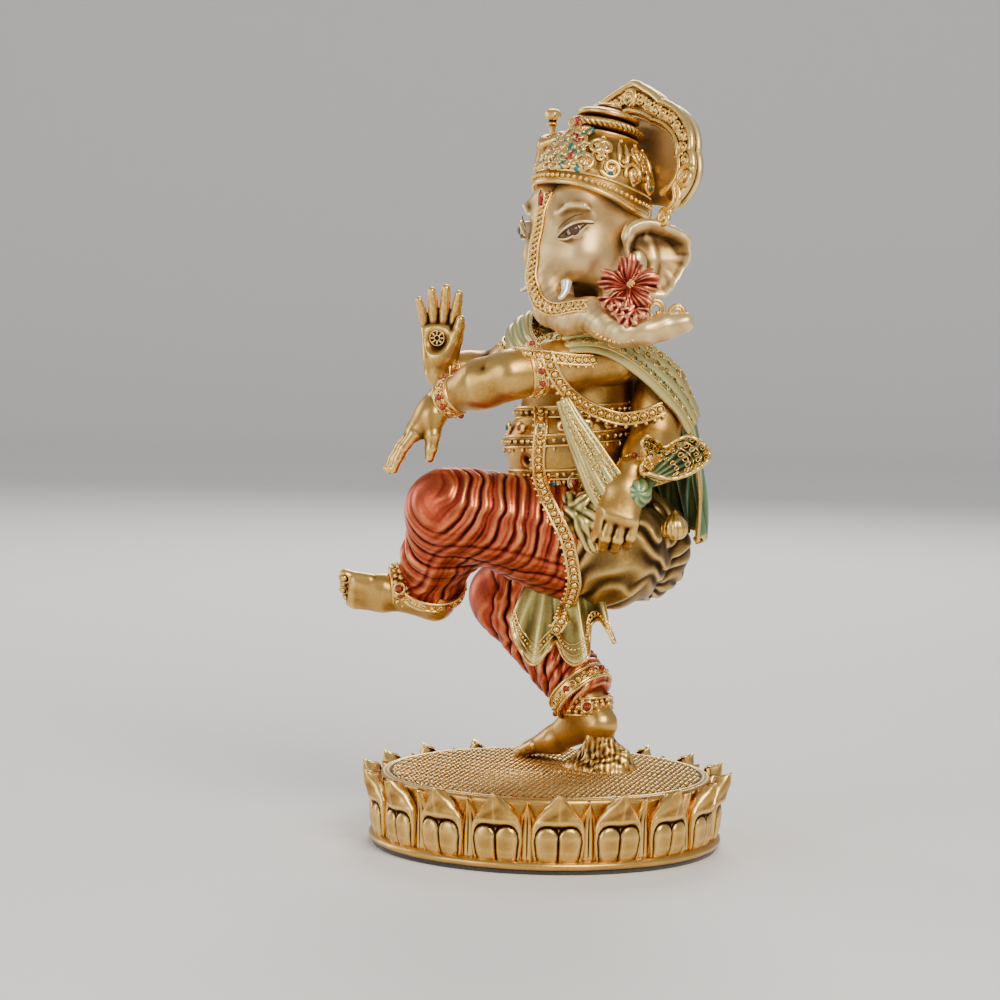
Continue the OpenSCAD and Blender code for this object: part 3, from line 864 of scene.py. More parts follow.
def legs():
    lo = np.minimum(left_ankle, left_knee) - 19
    hi = left_hip + 26
    place(sculpt("raised_trouser_leg", (lo[0], lo[1], lo[2] + 3), hi, red_leg, RED),
          "red_wash", "raised_thigh", "raised_calf")
    lo = np.minimum(np.minimum(right_knee, right_ankle), right_hip) - 20
    hi = np.maximum(right_hip, right_ankle) + 20
    place(sculpt("standing_trouser_leg", lo, hi, standing_leg, RED), "red_wash", "standing_leg")
    place(sculpt("draped_hip_and_seat", pelvis_c - V(25, 38, 26), pelvis_c + V(34, 25, 26), hip_cloth, BRONZE),
          "brass", "pelvis")


# ---------------------------------------------------------------- feet

def foot_field(heel, ankle, ball_of_foot, toe_root, across, up, size):
    """A bare foot: heel, instep, ball and five toes; across points to the big toe, up to the instep."""
    forward = unit(toe_root - heel)
    toes = []
    for i in range(5):
        side = (2 - i) / 2.0
        root = toe_root + across * side * 5.0 * size - forward * (0.6 + 0.9 * abs(side)) * size
        reach = (5.2, 4.7, 4.3, 3.7, 3.0)[i] * size
        radius = (2.15, 1.6, 1.55, 1.45, 1.35)[i] * size
        tip = root + forward * reach - up * 0.7 * size
        toes.append((root - forward * 2.5 * size, tip, radius * 0.95, radius, up))

    def field(p):
        d = sd_cone(p, ankle, heel, 6.2 * size, 5.6 * size)
        d = smin(d, sd_cone(p, ankle, ball_of_foot, 5.6 * size, 4.0 * size), 5 * size)
        d = smin(d, sd_cone(p, heel, ball_of_foot, 5.2 * size, 4.2 * size), 4 * size)
        for s in (-1, 0, 1):
            d = smin(d, sd_cone(p, ball_of_foot + across * s * 2.4 * size, toe_root + across * s * 3.9 * size,
                                3.8 * size, 2.5 * size), 3 * size)
        for root, tip, r0, r1, nail_up in toes:
            toe = smin(sd_cone(p, root, tip, r0, r1 * 0.86), sd_ball(p, tip, r1), 0.8 * size)
            nail = sd_egg(p, tip + nail_up * r1 * 0.86 + forward * 0.25 * size, (r1 * 0.7,) * 3)
            toe = smax(toe, -nail - 0.0, 0.25)
            toe = smin(toe, sd_egg(p, tip + nail_up * r1 * 0.55 + forward * 0.3 * size, (r1 * 0.52,) * 3), 0.1)
            d = smin(d, toe, 0.55 * size)
        return d

    return field


def feet():
    forward = unit(left_toe - left_heel)
    up = unit(np.cross(forward, V(0, 0, 1)))
    up = unit(up * 0.86 + V(0, 0, 0.5))
    across = unit(np.cross(up, forward))
    if across[2] < 0:
        across = -across
    up = unit(np.cross(forward, across))
    if up @ V(0.7, -0.7, 0) < 0:
        up = -up
    root = left_toe - forward * 3.0
    field = foot_field(left_heel, left_ankle + V(-2, -1, -2), lerp(left_heel, root, 0.66) + V(0, 0, 0.5),
                       root, across, up, 1.12)
    lo = np.minimum(left_heel, left_toe) - 12
    hi = np.maximum(left_heel, left_toe) + 13
    place(sculpt("raised_bare_foot", lo, hi, field, BRASS, EXTRA_FINE), "brass", "raised_foot")
    toe = right_toe.copy()
    forward = unit((toe - right_heel) * V(1, 1, 0.72))
    across = unit(np.cross(forward, V(0, 0, 1)))
    across = across if across[1] < 0 else -across
    up = unit(np.cross(forward, across))
    up = up if up[2] > 0 else -up
    root = toe - forward * 2.0 + V(0, 0, -0.6)
    field = foot_field(right_heel, right_ankle + V(0, 0, -2), lerp(right_heel, root, 0.68), root, across, up, 1.0)

    def above_ground(p):
        return smax(field(p), np.float32(top_z + 0.3) - p[..., 2], 0.4)

    lo = np.minimum(right_heel, right_toe) - 11
    hi = np.maximum(right_heel, right_toe) + 12
    hi[2] = right_ankle[2] + 4
    place(sculpt("standing_bare_foot", lo, hi, above_ground, BRASS, EXTRA_FINE), "brass", "standing_foot")


# ---------------------------------------------------------------- torso

def torso_field(p):
    d = sd_egg(p, belly + V(0, 1, 0), (22, 22.2, 21))
    d = smin(d, sd_egg(p, waist + V(0, 1, 0), (18.5, 17.5, 14)), 8)
    d = smin(d, sd_egg(p, chest + V(0, 0, 0), (19.5, 16, 17)), 10)
    for s in (-1, 1):
        d = smin(d, sd_egg(p, chest + V(s * 8.5, -8.5, -3), (8.5, 6.5, 6.5)), 5)
    d = smin(d, sd_cone(p, chest + V(1, 1, 8), neck + V(0, 0, 4), 13, 9), 8)
    d = smin(d, sd_cone(p, chest + V(0, 2, 8), left_shoulder + V(-4, 1, -1), 10, 8.5), 6)
    d = smin(d, sd_cone(p, chest + V(0, 2, 8), right_shoulder + V(3, 0, -1), 10, 8.5), 6)
    navel = belly + V(1, -21.6, -4)
    d = smax(d, -sd_ball(p, navel, 1.7), 1.6)
    q = p - np.float32(belly)
    crease = bump(q[..., 2] + 0.012 * q[..., 0] ** 2, 12.5, 1.6) + bump(q[..., 2] - 0.008 * q[..., 0] ** 2, -15.0, 1.4)
    front = smooth(-q[..., 1], 2, 12)
    return d + 0.5 * crease * front


def torso():
    lo = np.minimum(waist - 22, belly - 24)
    hi = np.maximum(neck, left_shoulder) + V(8, 16, 10)
    lo[0] = min(lo[0], right_shoulder[0] - 8)
    place(sculpt("bare_torso", lo, hi, torso_field, BRASS), "brass", "torso")


legs()
feet()
torso()


# ---------------------------------------------------------------- arms and hands

def arm_field(points, radii, k=6, dents=()):
    def field(p):
        d = sd_chain(p, points, radii, k)
        for c, r, depth in dents:
            d = d + depth * np.clip(1 - length3(p - np.float32(c)) / r, 0, 1) ** 2
        return d + 0.06 * value_noise(p, 7, 51)

    return field


def hand_field(wrist, forward, back, thumb_side, size, curls, spread, thumb, holding=0.0):
    """Palm, four fingers in three joints each and a thumb. back is the direction out of the back of the
    hand, curls the bend of each joint in degrees for each finger from the index on."""
    forward = unit(forward)
    side = unit(thumb_side - forward * (thumb_side @ forward))
    back = unit(np.cross(side, forward)) * np.sign(np.cross(side, forward) @ back)
    s = size
    palm_end = wrist + forward * 11.5 * s
    fingers = []
    for i in range(4):
        across = (1.5 - i) * 2.75 * s
        root = palm_end + side * across - forward * (0.5 * abs(1.4 - i)) * s + back * 0.2 * s
        direction = unit(forward + side * math.sin(math.radians(spread)) * (1.5 - i) / 1.5)
        lengths = np.array([4.9, 3.7, 3.0]) * (0.98, 1.06, 1.0, 0.82)[i] * s
        radius = (1.72, 1.78, 1.7, 1.5)[i] * s
        joints, bend = [root], 0.0
        for j in range(3):
            bend += math.radians(curls[i][j])
            step = direction * math.cos(bend) - back * math.sin(bend)
            joints.append(joints[-1] + step * lengths[j])
        fingers.append((joints, [radius, radius * 0.98, radius * 0.9, radius * 0.74], step))
    t_root = wrist + forward * 3.6 * s + side * 3.2 * s - back * 0.6 * s
    t1 = t_root + unit(forward * thumb[0] + side * thumb[1] - back * thumb[2]) * 5.2 * s
    t2 = t1 + unit(forward * (thumb[0] + 0.25) + side * thumb[1] * 0.8 - back * thumb[2]) * 3.9 * s
    t3 = t2 + unit(forward * (thumb[0] + 0.4) + side * thumb[1] * 0.55 - back * thumb[2]) * 2.6 * s

    def field(p):
        d = sd_cone(p, wrist - forward * 2 * s, wrist + forward * 3.2 * s, 4.5 * s, 4.4 * s)
        for off, radius in ((2.9, 2.5), (0.9, 2.75), (-1.1, 2.7), (-3.0, 2.3)):
            d = smin(d, sd_cone(p, wrist + forward * 2.8 * s + side * off * 0.6 * s,
                                palm_end - forward * 1.0 * s + side * off * 1.18 * s, radius * 1.12 * s,
                                radius * 0.88 * s), 2.6 * s)
        d = smin(d, sd_cone(p, t_root, t1, 2.9 * s, 2.15 * s), 3.0 * s)
        thumb_d = smin(sd_cone(p, t1, t2, 2.1 * s, 1.8 * s), sd_cone(p, t2, t3, 1.8 * s, 1.35 * s), 0.4 * s)
        d = smin(d, thumb_d, 0.9 * s)
        for joints, radii, step in fingers:
            f = None
            for j in range(3):
                part = sd_cone(p, joints[j], joints[j + 1], radii[j], radii[j + 1])
                f = part if f is None else smin(f, part, 0.35 * s)
            nail = joints[3] + unit(np.cross(np.cross(step, back), step)) * radii[3] * 0.72
            f = smin(f, sd_egg(p, nail, (radii[3] * 0.62,) * 3), 0.15)
            for j in (1, 2):
                f = f + 0.16 * s * np.clip(1 - length3(p - np.float32(joints[j] - back * radii[j])) / (1.5 * s), 0, 1)
            d = smin(d, f, 0.5 * s)
        hollow = sd_egg(p, wrist + forward * 8.0 * s - back * 4.4 * s, (3.4 * s, 3.4 * s, 3.4 * s))
        return smax(d, -hollow, 1.8 * s)

    return field, palm_end, side, back


def arms():
    upper = lerp(left_shoulder, left_elbow, 0.5)
    pts = [left_shoulder, upper + V(0, 0, 0.4), left_elbow + V(1, 2, 0), lerp(left_elbow, left_wrist, 0.35),
           left_wrist]
    field = arm_field(pts, [9.4, 8.2, 7.6, 7.9, 5.6], 5, [(left_elbow + V(-3, -7, 2), 4, 0.5)])
    place(sculpt("left_arm", np.minimum(left_wrist, left_elbow) - V(9, 10, 10), left_shoulder + V(12, 12, 12), field,
                 BRASS), "brass", "left_upper_arm", "left_forearm")
    forward = unit(left_tip - left_wrist)
    field, palm_end, side, back = hand_field(
        left_wrist + forward * 1.0, forward + V(-0.10, -0.08, 0.06), V(-0.55, -0.45, 0.6), V(0.64, -0.70, -0.28),
        1.24, [(4, 10, 6), (2, 8, 8), (4, 12, 10), (8, 16, 12)], 8, (0.85, 0.55, 0.75))
    place(sculpt("left_hand_pointing", np.minimum(left_wrist, left_tip) - 11, np.maximum(left_wrist, left_tip) + 11,
                 field, BRASS, EXTRA_FINE), "brass", "left_hand")

    pts = [right_shoulder, lerp(right_shoulder, right_elbow, 0.55), right_elbow, lerp(right_elbow, right_wrist, 0.5),
           right_wrist]
    field = arm_field(pts, [9.4, 7.8, 7.0, 6.6, 5.0], 5)
    place(sculpt("right_arm", np.minimum(right_wrist, right_elbow) - V(10, 11, 11), right_shoulder + V(12, 12, 12),
                 field, BRASS), "brass", "right_upper_arm", "right_forearm")
    forward = unit(right_tip - right_wrist + V(0, -3, 0))
    field, palm_end, side, back = hand_field(
        right_wrist + V(0, 0, 2), forward, V(-0.55, 0.75, 0), V(0.82, 0.5, 0), 1.18,
        [(2, 4, 4), (0, 3, 4), (1, 4, 4), (3, 6, 6)], 12, (0.95, 0.5, 0.15))
    place(sculpt("right_hand_raised", np.minimum(right_wrist, right_tip) - V(12, 12, 9), right_tip + V(16, 16, 9),
                 field, BRASS, EXTRA_FINE), "brass", "right_hand")
    rosette(right_wrist + V(0, 0, 2) + forward * 8.6 * 1.18 - back * 2.6, -back, forward)

    pts = [rear_left_shoulder, lerp(rear_left_shoulder, rear_left_elbow, 0.5), rear_left_elbow,
           lerp(rear_left_elbow, rear_left_wrist, 0.5), rear_left_wrist]
    field = arm_field(pts, [9.2, 8.4, 7.4, 7.0, 5.6], 5)
    lo = np.minimum(rear_left_wrist, rear_left_shoulder) - 11
    hi = np.maximum(rear_left_wrist, rear_left_shoulder) + 11
    place(sculpt("rear_left_arm_cast", lo, hi, field, BRASS), "brass", "rear_left_arm")
    field, palm_end, side, back = hand_field(
        rear_left_wrist + V(0.5, -4, -2), V(0.14, -0.50, -0.86), V(0.72, -0.60, 0.38), V(-0.72, -0.66, 0.3), 1.34,
        [(24, 48, 34), (26, 48, 34), (28, 48, 34), (30, 50, 36)], 5, (0.8, 0.45, 0.6))
    place(sculpt("rear_left_hand_cupped", rear_left_wrist - V(15, 17, 33), rear_left_wrist + V(19, 26, 8), field,
                 BRASS, EXTRA_FINE), "brass", "rear_left_hand")

    pts = [rear_right_shoulder, lerp(rear_right_shoulder, rear_right_elbow, 0.5), rear_right_elbow,
           lerp(rear_right_elbow, rear_right_wrist, 0.5), rear_right_wrist]
    field = arm_field(pts, [9.2, 7.6, 6.8, 6.4, 5.0], 5)
    lo = np.minimum(rear_right_wrist, rear_right_shoulder) - 11
    hi = np.maximum(rear_right_wrist, rear_right_shoulder) + 11
    lo = np.minimum(lo, rear_right_elbow - 9)
    hi = np.maximum(hi, rear_right_elbow + 9)
    place(sculpt("rear_right_arm_cast", lo, hi, field, BRASS), "brass", "rear_right_arm")
    field, palm_end, side, back = hand_field(
        rear_right_wrist, fist - rear_right_wrist + V(-1, -2, 2), V(-0.7, 0.6, 0), V(0.5, -0.9, 0), 1.16,
        [(75, 85, 55), (78, 88, 55), (78, 88, 55), (80, 88, 55)], 2, (0.8, -0.1, 1.1))
    place(sculpt("rear_right_fist", fist - V(15, 15, 18), fist + V(15, 15, 15), field, BRASS, EXTRA_FINE),
          "brass", "rear_right_hand")
    goad_piece()


def rosette(centre, out, up):
    """A plain engraved flower in the raised palm."""
    axes = frame_axes(out, up)
    parts = Parts()
    for r, count in ((1.0, 0), (2.7, 0)):
        t = np.arange(36) * 2 * math.pi / 36
        ring = centre + (np.cos(t)[:, None] * axes[0] + np.sin(t)[:, None] * axes[1]) * r
        add_tube(parts, ring, 0.26, 6, closed=True)
    for k in range(8):
        t = 2 * math.pi * k / 8
        mid = centre + (axes[0] * math.cos(t) + axes[1] * math.sin(t)) * 1.85
        out_axis = axes[0] * math.cos(t) + axes[1] * math.sin(t)
        add_bead(parts, mid, (0.72, 0.42, 0.34), np.stack([out_axis, np.cross(axes[2], out_axis), axes[2]]))
    place(parts.mesh("palm_rosette", BRIGHT), "brass")


def goad_piece():
    parts = Parts()
    lo, hi = box("goad")
    top = V((lo[0] + hi[0]) / 2, (lo[1] + hi[1]) / 2, hi[2])
    profile = [(0.15, -19.5), (1.5, -19), (2.0, -17.6), (1.6, -16.4), (1.2, -15.5), (1.2, -6.4), (1.8, -6.0),
               (2.3, -5.4), (1.7, -4.8), (1.3, -4.4), (1.9, -4.0), (2.8, -3.2), (3.0, -2.2), (2.7, -1.2), (1.8, -0.4),
               (0.15, 0.0)]
    dense = path_points([(r, h, 0) for r, h in profile], 90)[:, :2]
    dense[:, 0] = np.maximum(dense[:, 0], 0.1)
    axes = frame_axes(V(0.03, 0.02, 1), V(1, 0, 0))
    flute = lambda a, r, h: (r * (1 + 0.05 * np.sin(8 * a) * bump(h, -2.4, 1.8)), h)
    verts, faces = lathe(dense, top, axes, 48, flute)
    parts.add(verts, faces)
    place(parts.mesh("goad_handle", BRASS), "brass", "goad")


arms()


# ---------------------------------------------------------------- head, trunk and ears

TRUNK = [(0.2, -9.8, 3), (0.4, -13, -6), (0.8, -16, -16), (5.4, -17.2, -25.4), (12.8, -15.6, -28.4),
         (20.4, -12.8, -27.4), (26.2, -11.6, -30.6), (32, -8, -33.2), (37, -2, -32.8), (40.4, 3.6, -31),
         (43.4, 9.6, -29.6)]
TRUNK_R = [9.0, 7.8, 6.9, 6.4, 6.0, 5.4, 4.9, 4.7, 4.4, 4.1, 3.5]


def head_local(p):
    return (p - np.float32(skull_c)) @ np.float32(head_axes).T


def head_field(p):
    q = head_local(p)
    m = np.abs(q[..., 0])
    s = np.stack([m, q[..., 1], q[..., 2]], -1)
    d = sd_egg(q, V(0, 2.5, 3), (18, 18.5, 19))
    d = smin(d, sd_egg(s, V(6.5, -6.7, 9.2), (10, 9.5, 9.6)), 5)
    d = smin(d, sd_cone(q, V(0.5, -4.4, -1), V(1.2, -10.8, -10), 13, 9), 6)
    d = smin(d, sd_egg(s, V(9.8, -5.5, -7.5), (9.4, 11.5, 10.5)), 5)
    d = smin(d, sd_cone(q, V(0, 3, -12), V(-1, 4, -29), 12.5, 10), 6)
    trunk = sd_chain(q, [V(*t) for t in TRUNK], TRUNK_R, 3.0)
    step = q[..., 0] * 0.9 - q[..., 2] * 0.6
    rings = np.abs(np.sin(np.pi * (step + 0.4 * value_noise(q, 9, 21)) / 2.6))
    below = smooth(-q[..., 2], 4, 16)
    d = smin(d, trunk + 0.07 * (1 - rings) * below, 4.0)
    jaw = sd_cone(q, V(3, -8, -17), V(9.5, -13.5, -20.5), 5.2, 2.4)
    d = smin(d, jaw, 1.5)
    cheek_line = sd_egg(s, V(8, -9, -21), (8.5, 9, 4.2))
    d = smax(d, -smax(cheek_line, -(trunk - 1.2), 0.6), 2.2)
    tip = sd_ball(q, V(*TRUNK[-1]) + V(1.4, 2.7, 0.6), 1.5)
    d = smax(d, -tip, 0.6)
    # brow, socket and temple hollow
    brow = sd_chain(s, [V(8.4, -18.6, 6.6), V(12.4, -16.8, 9.6), V(16.4, -13.2, 9.4), V(18.6, -10.2, 7.2)],
                    [0.9, 1.3, 1.2, 0.7], 1.5)
    d = smin(d, brow + 1.7, 5.8)
    d = smax(d, -sd_egg(s, V(14.2, -16.9, 1.2), (4.6, 3.1, 3.3)), 2.6)
    d = smax(d, -sd_egg(s, V(21.6, -2, 10), (3.0, 5.0, 5.0)), 5.0)
    return d


def eye(side):
    """Painted almond eye: ball, iris and pupil, two lids and a dark line along them, and a thin dark line of painted
    shade in the crease above the upper lid.
    """
    flip = V(side, 1, 1)
    inner, outer = V(9.2, -18.6, -1.6), V(17.9, -12.3, 3.6)
    centre = V(13.3, -14.1, 1.0)
    white = sculpt_ball(on_head(*(centre * flip)), 3.2)
    place(make_mesh(f"eye_white_{'left' if side > 0 else 'right'}", *white, EYE_WHITE), "pearl_gold")
    look = unit(V(0.62, -0.78, 0.02))
    dark = Parts()
    for reach, radius in ((1.45, 2.25), (2.75, 1.05)):
        c = on_head(*((centre + look * reach) * flip))
        add_bead(dark, c, (radius, radius, radius), shape=BALL)
    lid_out = unit(V(0.6, -0.8, 0))
    upper = [inner, lerp(inner, outer, 0.25) + V(0, 0, 1.2) + lid_out * 0.9,
             lerp(inner, outer, 0.55) + V(0, 0, 1.5) + lid_out * 1.25,
             lerp(inner, outer, 0.82) + V(0, 0, 0.8) + lid_out * 0.8, outer + V(1.2, 1.2, -0.3)]
    lower = [inner, lerp(inner, outer, 0.3) + V(0, 0, -1.5) + lid_out * 0.8,
             lerp(inner, outer, 0.65) + V(0, 0, -1.3) + lid_out * 0.8, outer]
    lids = Parts()
    for path, thick, rise in ((upper, 0.6, 0.5), (lower, 0.42, -0.5)):
        curve = [on_head(*(q * flip)) for q in path]
        pts = path_points(curve, 36)
        taper = np.sin(np.linspace(0.12, math.pi - 0.12, 36)) ** 0.5
        add_tube(dark, pts, 0.5 * taper + 0.12, 8)
        add_tube(lids, pts + V(0, 0, rise), thick * taper + 0.1, 10)
    # a thin dark tube in the fold above the upper lid: painted shade in the lid crease
    crease = [on_head(*((q + V(-0.3, 0.3, 3.0)) * flip)) for q in upper[:-1]]
    add_tube(dark, path_points(crease, 30), 0.14 + 0.1 * np.sin(np.linspace(0, math.pi, 30)), 6)
    side_name = "left" if side > 0 else "right"
    place(lids.mesh(f"eyelids_{side_name}", PEARL), "pearl_gold")
    place(dark.mesh(f"eye_paint_and_crease_shade_{side_name}", EYE_DARK), "pearl_gold")


def sculpt_ball(centre, radius):
    verts, faces = sphere_shape(28, 18)
    return verts * radius + centre, outward(verts, faces)


EAR_ANGLES = [0, 25, 50, 70, 90, 115, 140, 165, 190, 215, 240, 262, 282, 305, 330, 360]
EAR_REACH = [12.0, 11.2, 9.9, 9.3, 9.8, 11.6, 13.4, 12.4, 10.4, 10.2, 11.4, 13.6, 14.0, 11.6, 11.0, 12.0]


def ear_field(side):
    """A cupped fan with a rolled rim and an inner fold; u runs back along the ear, v up, n outwards."""
    centre = V(23.2 * side, 13.6, -6.8)
    u_axis = unit(V(0.30 * side, 0.95, 0.02))
    v_axis = unit(V(0.06 * side, -0.05, 1))
    n_axis = unit(np.cross(v_axis, u_axis)) * -side
    if n_axis[0] * side < 0:
        n_axis = -n_axis

    def field(p):
        q = head_local(p) - np.float32(centre)
        u, v, n = q @ np.float32(u_axis), q @ np.float32(v_axis), q @ np.float32(n_axis)
        angle = np.arctan2(v, u)
        outline = np.interp(np.degrees(angle) % 360, EAR_ANGLES, EAR_REACH)
        rho = np.sqrt(u * u + v * v) / outline
        bowl = -3.4 * (1 - np.clip(rho, 0, 1.1) ** 2) + 0.6
        bowl = bowl - 2.2 * smooth(v, -2, 5) * (1 - smooth(rho, 0.62, 0.92))
        wave = 0.5 * np.sin(angle * 5 + 0.6) * smooth(rho, 0.55, 1)
        sheet = np.abs(n - bowl - wave) - (1.15 + 0.5 * (1 - np.clip(rho, 0, 1)))
        plate = smax(sheet, (rho - 1) * 11, 1.2)
        roll = np.sqrt(((rho - 0.97) * 12) ** 2 + (n - bowl - wave - 0.4) ** 2) - 1.0
        upper_roll = roll - 1.9 * smooth(v, 2, 7) * smooth(n + 5, 0, 5)
        d = smin(plate, upper_roll, 1.2)
        fold = np.sqrt((np.sqrt((u + 6.0) ** 2 + ((v + 1.5) * 0.72) ** 2) - 6.2) ** 2
                       + (n - bowl - 0.6) ** 2) - 1.15
        fold = smax(fold, -(u + 3.5), 1.0)
        d = smin(d, fold, 1.4)
        lobe = sd_egg(np.stack([u, v, n], -1), V(-7.0, -3.4, 0.6), (3.4, 5.2, 2.4))
        d = smin(d, lobe, 1.6)
        veins = np.abs(np.sin(angle * 8.0 + 0.8 * value_noise(p, 12, 5)))
        return d + 0.10 * (1 - veins) * smooth(rho, 0.5, 0.8)

    return field


def head():
    lo = on_head(-24, -30, -40)
    hi = on_head(48, 26, 27)
    lo = np.minimum(lo, on_head(-24, -27, -40)) - V(0, 6, 0)
    hi = np.maximum(hi, on_head(48, 16, 27)) + V(2, 2, 0)
    place(sculpt("elephant_head", lo, hi, head_field, PEARL, EXTRA_FINE * 1.15), "pearl_gold",
          "head", "trunk", "trunk_tip")
    for side, name in ((1, "left_ear"), (-1, "right_ear")):
        c = on_head(23.2 * side, 13.6, -6.8)
        place(sculpt("cast_" + name, c - V(10, 18, 18), c + V(10, 18, 18), ear_field(side), PEARL,
                     EXTRA_FINE * 1.15), "pearl_gold", name)
        eye(side)
    tusks = Parts()
    for side in (1, -1):
        base, tip = V(13.2 * side, -17.6, -16.6), V(14.6 * side, -21.6, -22.4)
        if side < 0:
            base, tip = V(-9.0, -13.5, -14), V(-12.5, -17, -20)
        pts = path_points([on_head(*base), on_head(*(lerp(base, tip, 0.5) + V(0.3, 0.6, -0.6))), on_head(*tip)], 14)
        add_tube(tusks, pts, np.linspace(2.0, 0.75, 14), 16)
    place(tusks.mesh("short_tusks", IVORY), "pearl_gold", "tusks")


# Like the other metals, these darken the hollows with painted shade and brighten raised edges with painted highlight
EYE_WHITE = antique_with_painted_light("eye_white", [(0.3, (0.34, 0.22, 0.10)), (0.7, (0.72, 0.56, 0.34))], metallic=0.4,
                    rough=(0.4, 0.25), grain=0.03)
EYE_DARK = antique_with_painted_light("eye_paint_and_crease_shade", [(0.3, (0.014, 0.006, 0.003)), (0.7, (0.085, 0.036, 0.014))], metallic=0.2,
                   rough=(0.45, 0.25), grain=0.03)
IVORY = antique_with_painted_light("ivory_gold", [(0.25, (0.25, 0.16, 0.07)), (0.45, (0.68, 0.56, 0.36)), (0.7, (0.93, 0.86, 0.68))],
                metallic=0.6, rough=(0.45, 0.25), grain=0.1)
head()


# ---------------------------------------------------------------- braid and tilak on the trunk

def rest_on(field, points, directions, lift, reach=7.0):
    """Slides each point along its direction to lie that far above the field's outer surface."""
    s = np.linspace(reach, -reach, 113)
    samples = points[:, None, :] + directions[:, None, :] * s[None, :, None]
    d = field(samples.reshape(-1, 3).astype(np.float32)).reshape(len(points), -1)
    best = s[(d < lift).argmax(1)]
    best = np.convolve(np.pad(best, 6, mode="edge"), np.ones(13) / 13, mode="valid")
    return points + directions * best[:, None]


def head_braid():
    front = [V(-0.6, -15.6, 14), V(-0.2, -17.0, 7), V(0.1, -18.6, 0), V(0.4, -20.4, -7), V(1.2, -22.4, -15),
             V(4.0, -23.2, -21), V(8.4, -22.6, -25.2), V(13.4, -21.2, -26.4), V(19.2, -17.8, -25.6),
             V(23.6, -16.2, -25.2)]
    pts = path_points([on_head(*q) for q in front], 260)
    tangents = np.gradient(pts, axis=0)
    tangents /= np.linalg.norm(tangents, axis=1)[:, None]
    centre_line = path_points([on_head(*q) for q in TRUNK[:6]], 120)
    near = centre_line[np.argmin(((pts[:, None] - centre_line[None]) ** 2).sum(-1), axis=1)]
    out = pts - near
    out -= tangents * np.einsum("ij,ij->i", out, tangents)[:, None]
    out /= np.linalg.norm(out, axis=1)[:, None]
    pts = rest_on(head_field, pts, out, 0.25)
    across = np.cross(tangents, out)
    width = np.interp(np.linspace(0, 1, 260), [0, 0.08, 0.5, 1], [1.7, 2.0, 2.4, 2.0])
    parts = Parts()
    for s in (-1, 1):
        add_tube(parts, pts + across * (s * width)[:, None] + out * 0.15, 0.42, 8)
    phase = np.linspace(0, 1, 260) * 15 * 2 * math.pi
    for shift in (0, math.pi):
        wave = (np.sin(phase + shift) * width * 0.62)[:, None] * across
        rise = (0.35 + 0.3 * np.cos(phase + shift))[:, None] * out
        add_tube(parts, pts + wave + rise, 0.46, 8)
    for i in range(8, 260, 17):
        add_bead(parts, pts[i] + out[i] * 0.75, (0.62,) * 3)
    place(parts.mesh("trunk_ornament", BRIGHT, relief=True), "brass", "trunk_braid")
    stone = Parts()
    top = on_head(-1.0, -18.6, 11.6)
    add_bead(stone, top, (0.95, 0.8, 2.6), head_axes)
    place(stone.mesh("tilak_stone", RED_JEWEL), "jewels")
    frame_parts = Parts()
    ring = [on_head(-1.0 + 1.7 * math.sin(t), -18.2 + 0.25 * math.cos(t), 11.4 + 3.6 * math.cos(t))
            for t in np.linspace(0, 2 * math.pi, 24, endpoint=False)]
    add_tube(frame_parts, np.array(ring), 0.38, 8, closed=True)
    place(frame_parts.mesh("tilak_frame", BRIGHT), "brass")
    scroll = Parts()
    for c, r, turn in ((V(38.4, 1.2, -25.4), 3.4, 0.4), (V(42.2, 7.6, -26.6), 2.9, 0.2)):
        t = np.linspace(0, 1.62 * 2 * math.pi, 60)
        radius = r * (1 - 0.62 * t / t[-1])
        u_axis, v_axis = unit(V(0.55, 0.83, 0)), V(0, 0, 1)
        curve = [on_head(*(c + u_axis * rr * -math.cos(tt + turn) + v_axis * rr * math.sin(tt + turn)))
                 for rr, tt in zip(radius, t)]
        add_tube(scroll, np.array(curve), np.linspace(0.75, 0.5, 60), 10)
        add_bead(scroll, curve[-1], (0.9,) * 3)
    place(scroll.mesh("scrolls_on_trunk_tip", BRIGHT), "brass", "trunk_scroll")
    rim = Parts()
    under = [on_head(*q) for q in (V(24.4, -16.6, -29), V(27.6, -15.6, -34), V(33.6, -11.4, -36.6), V(39, -5.2, -35))]
    add_bead_row(rim, under, 0.72, 2.0, shape=BALL)
    place(rim.mesh("beads_under_trunk", BRIGHT), "brass")


# ---------------------------------------------------------------- hibiscus

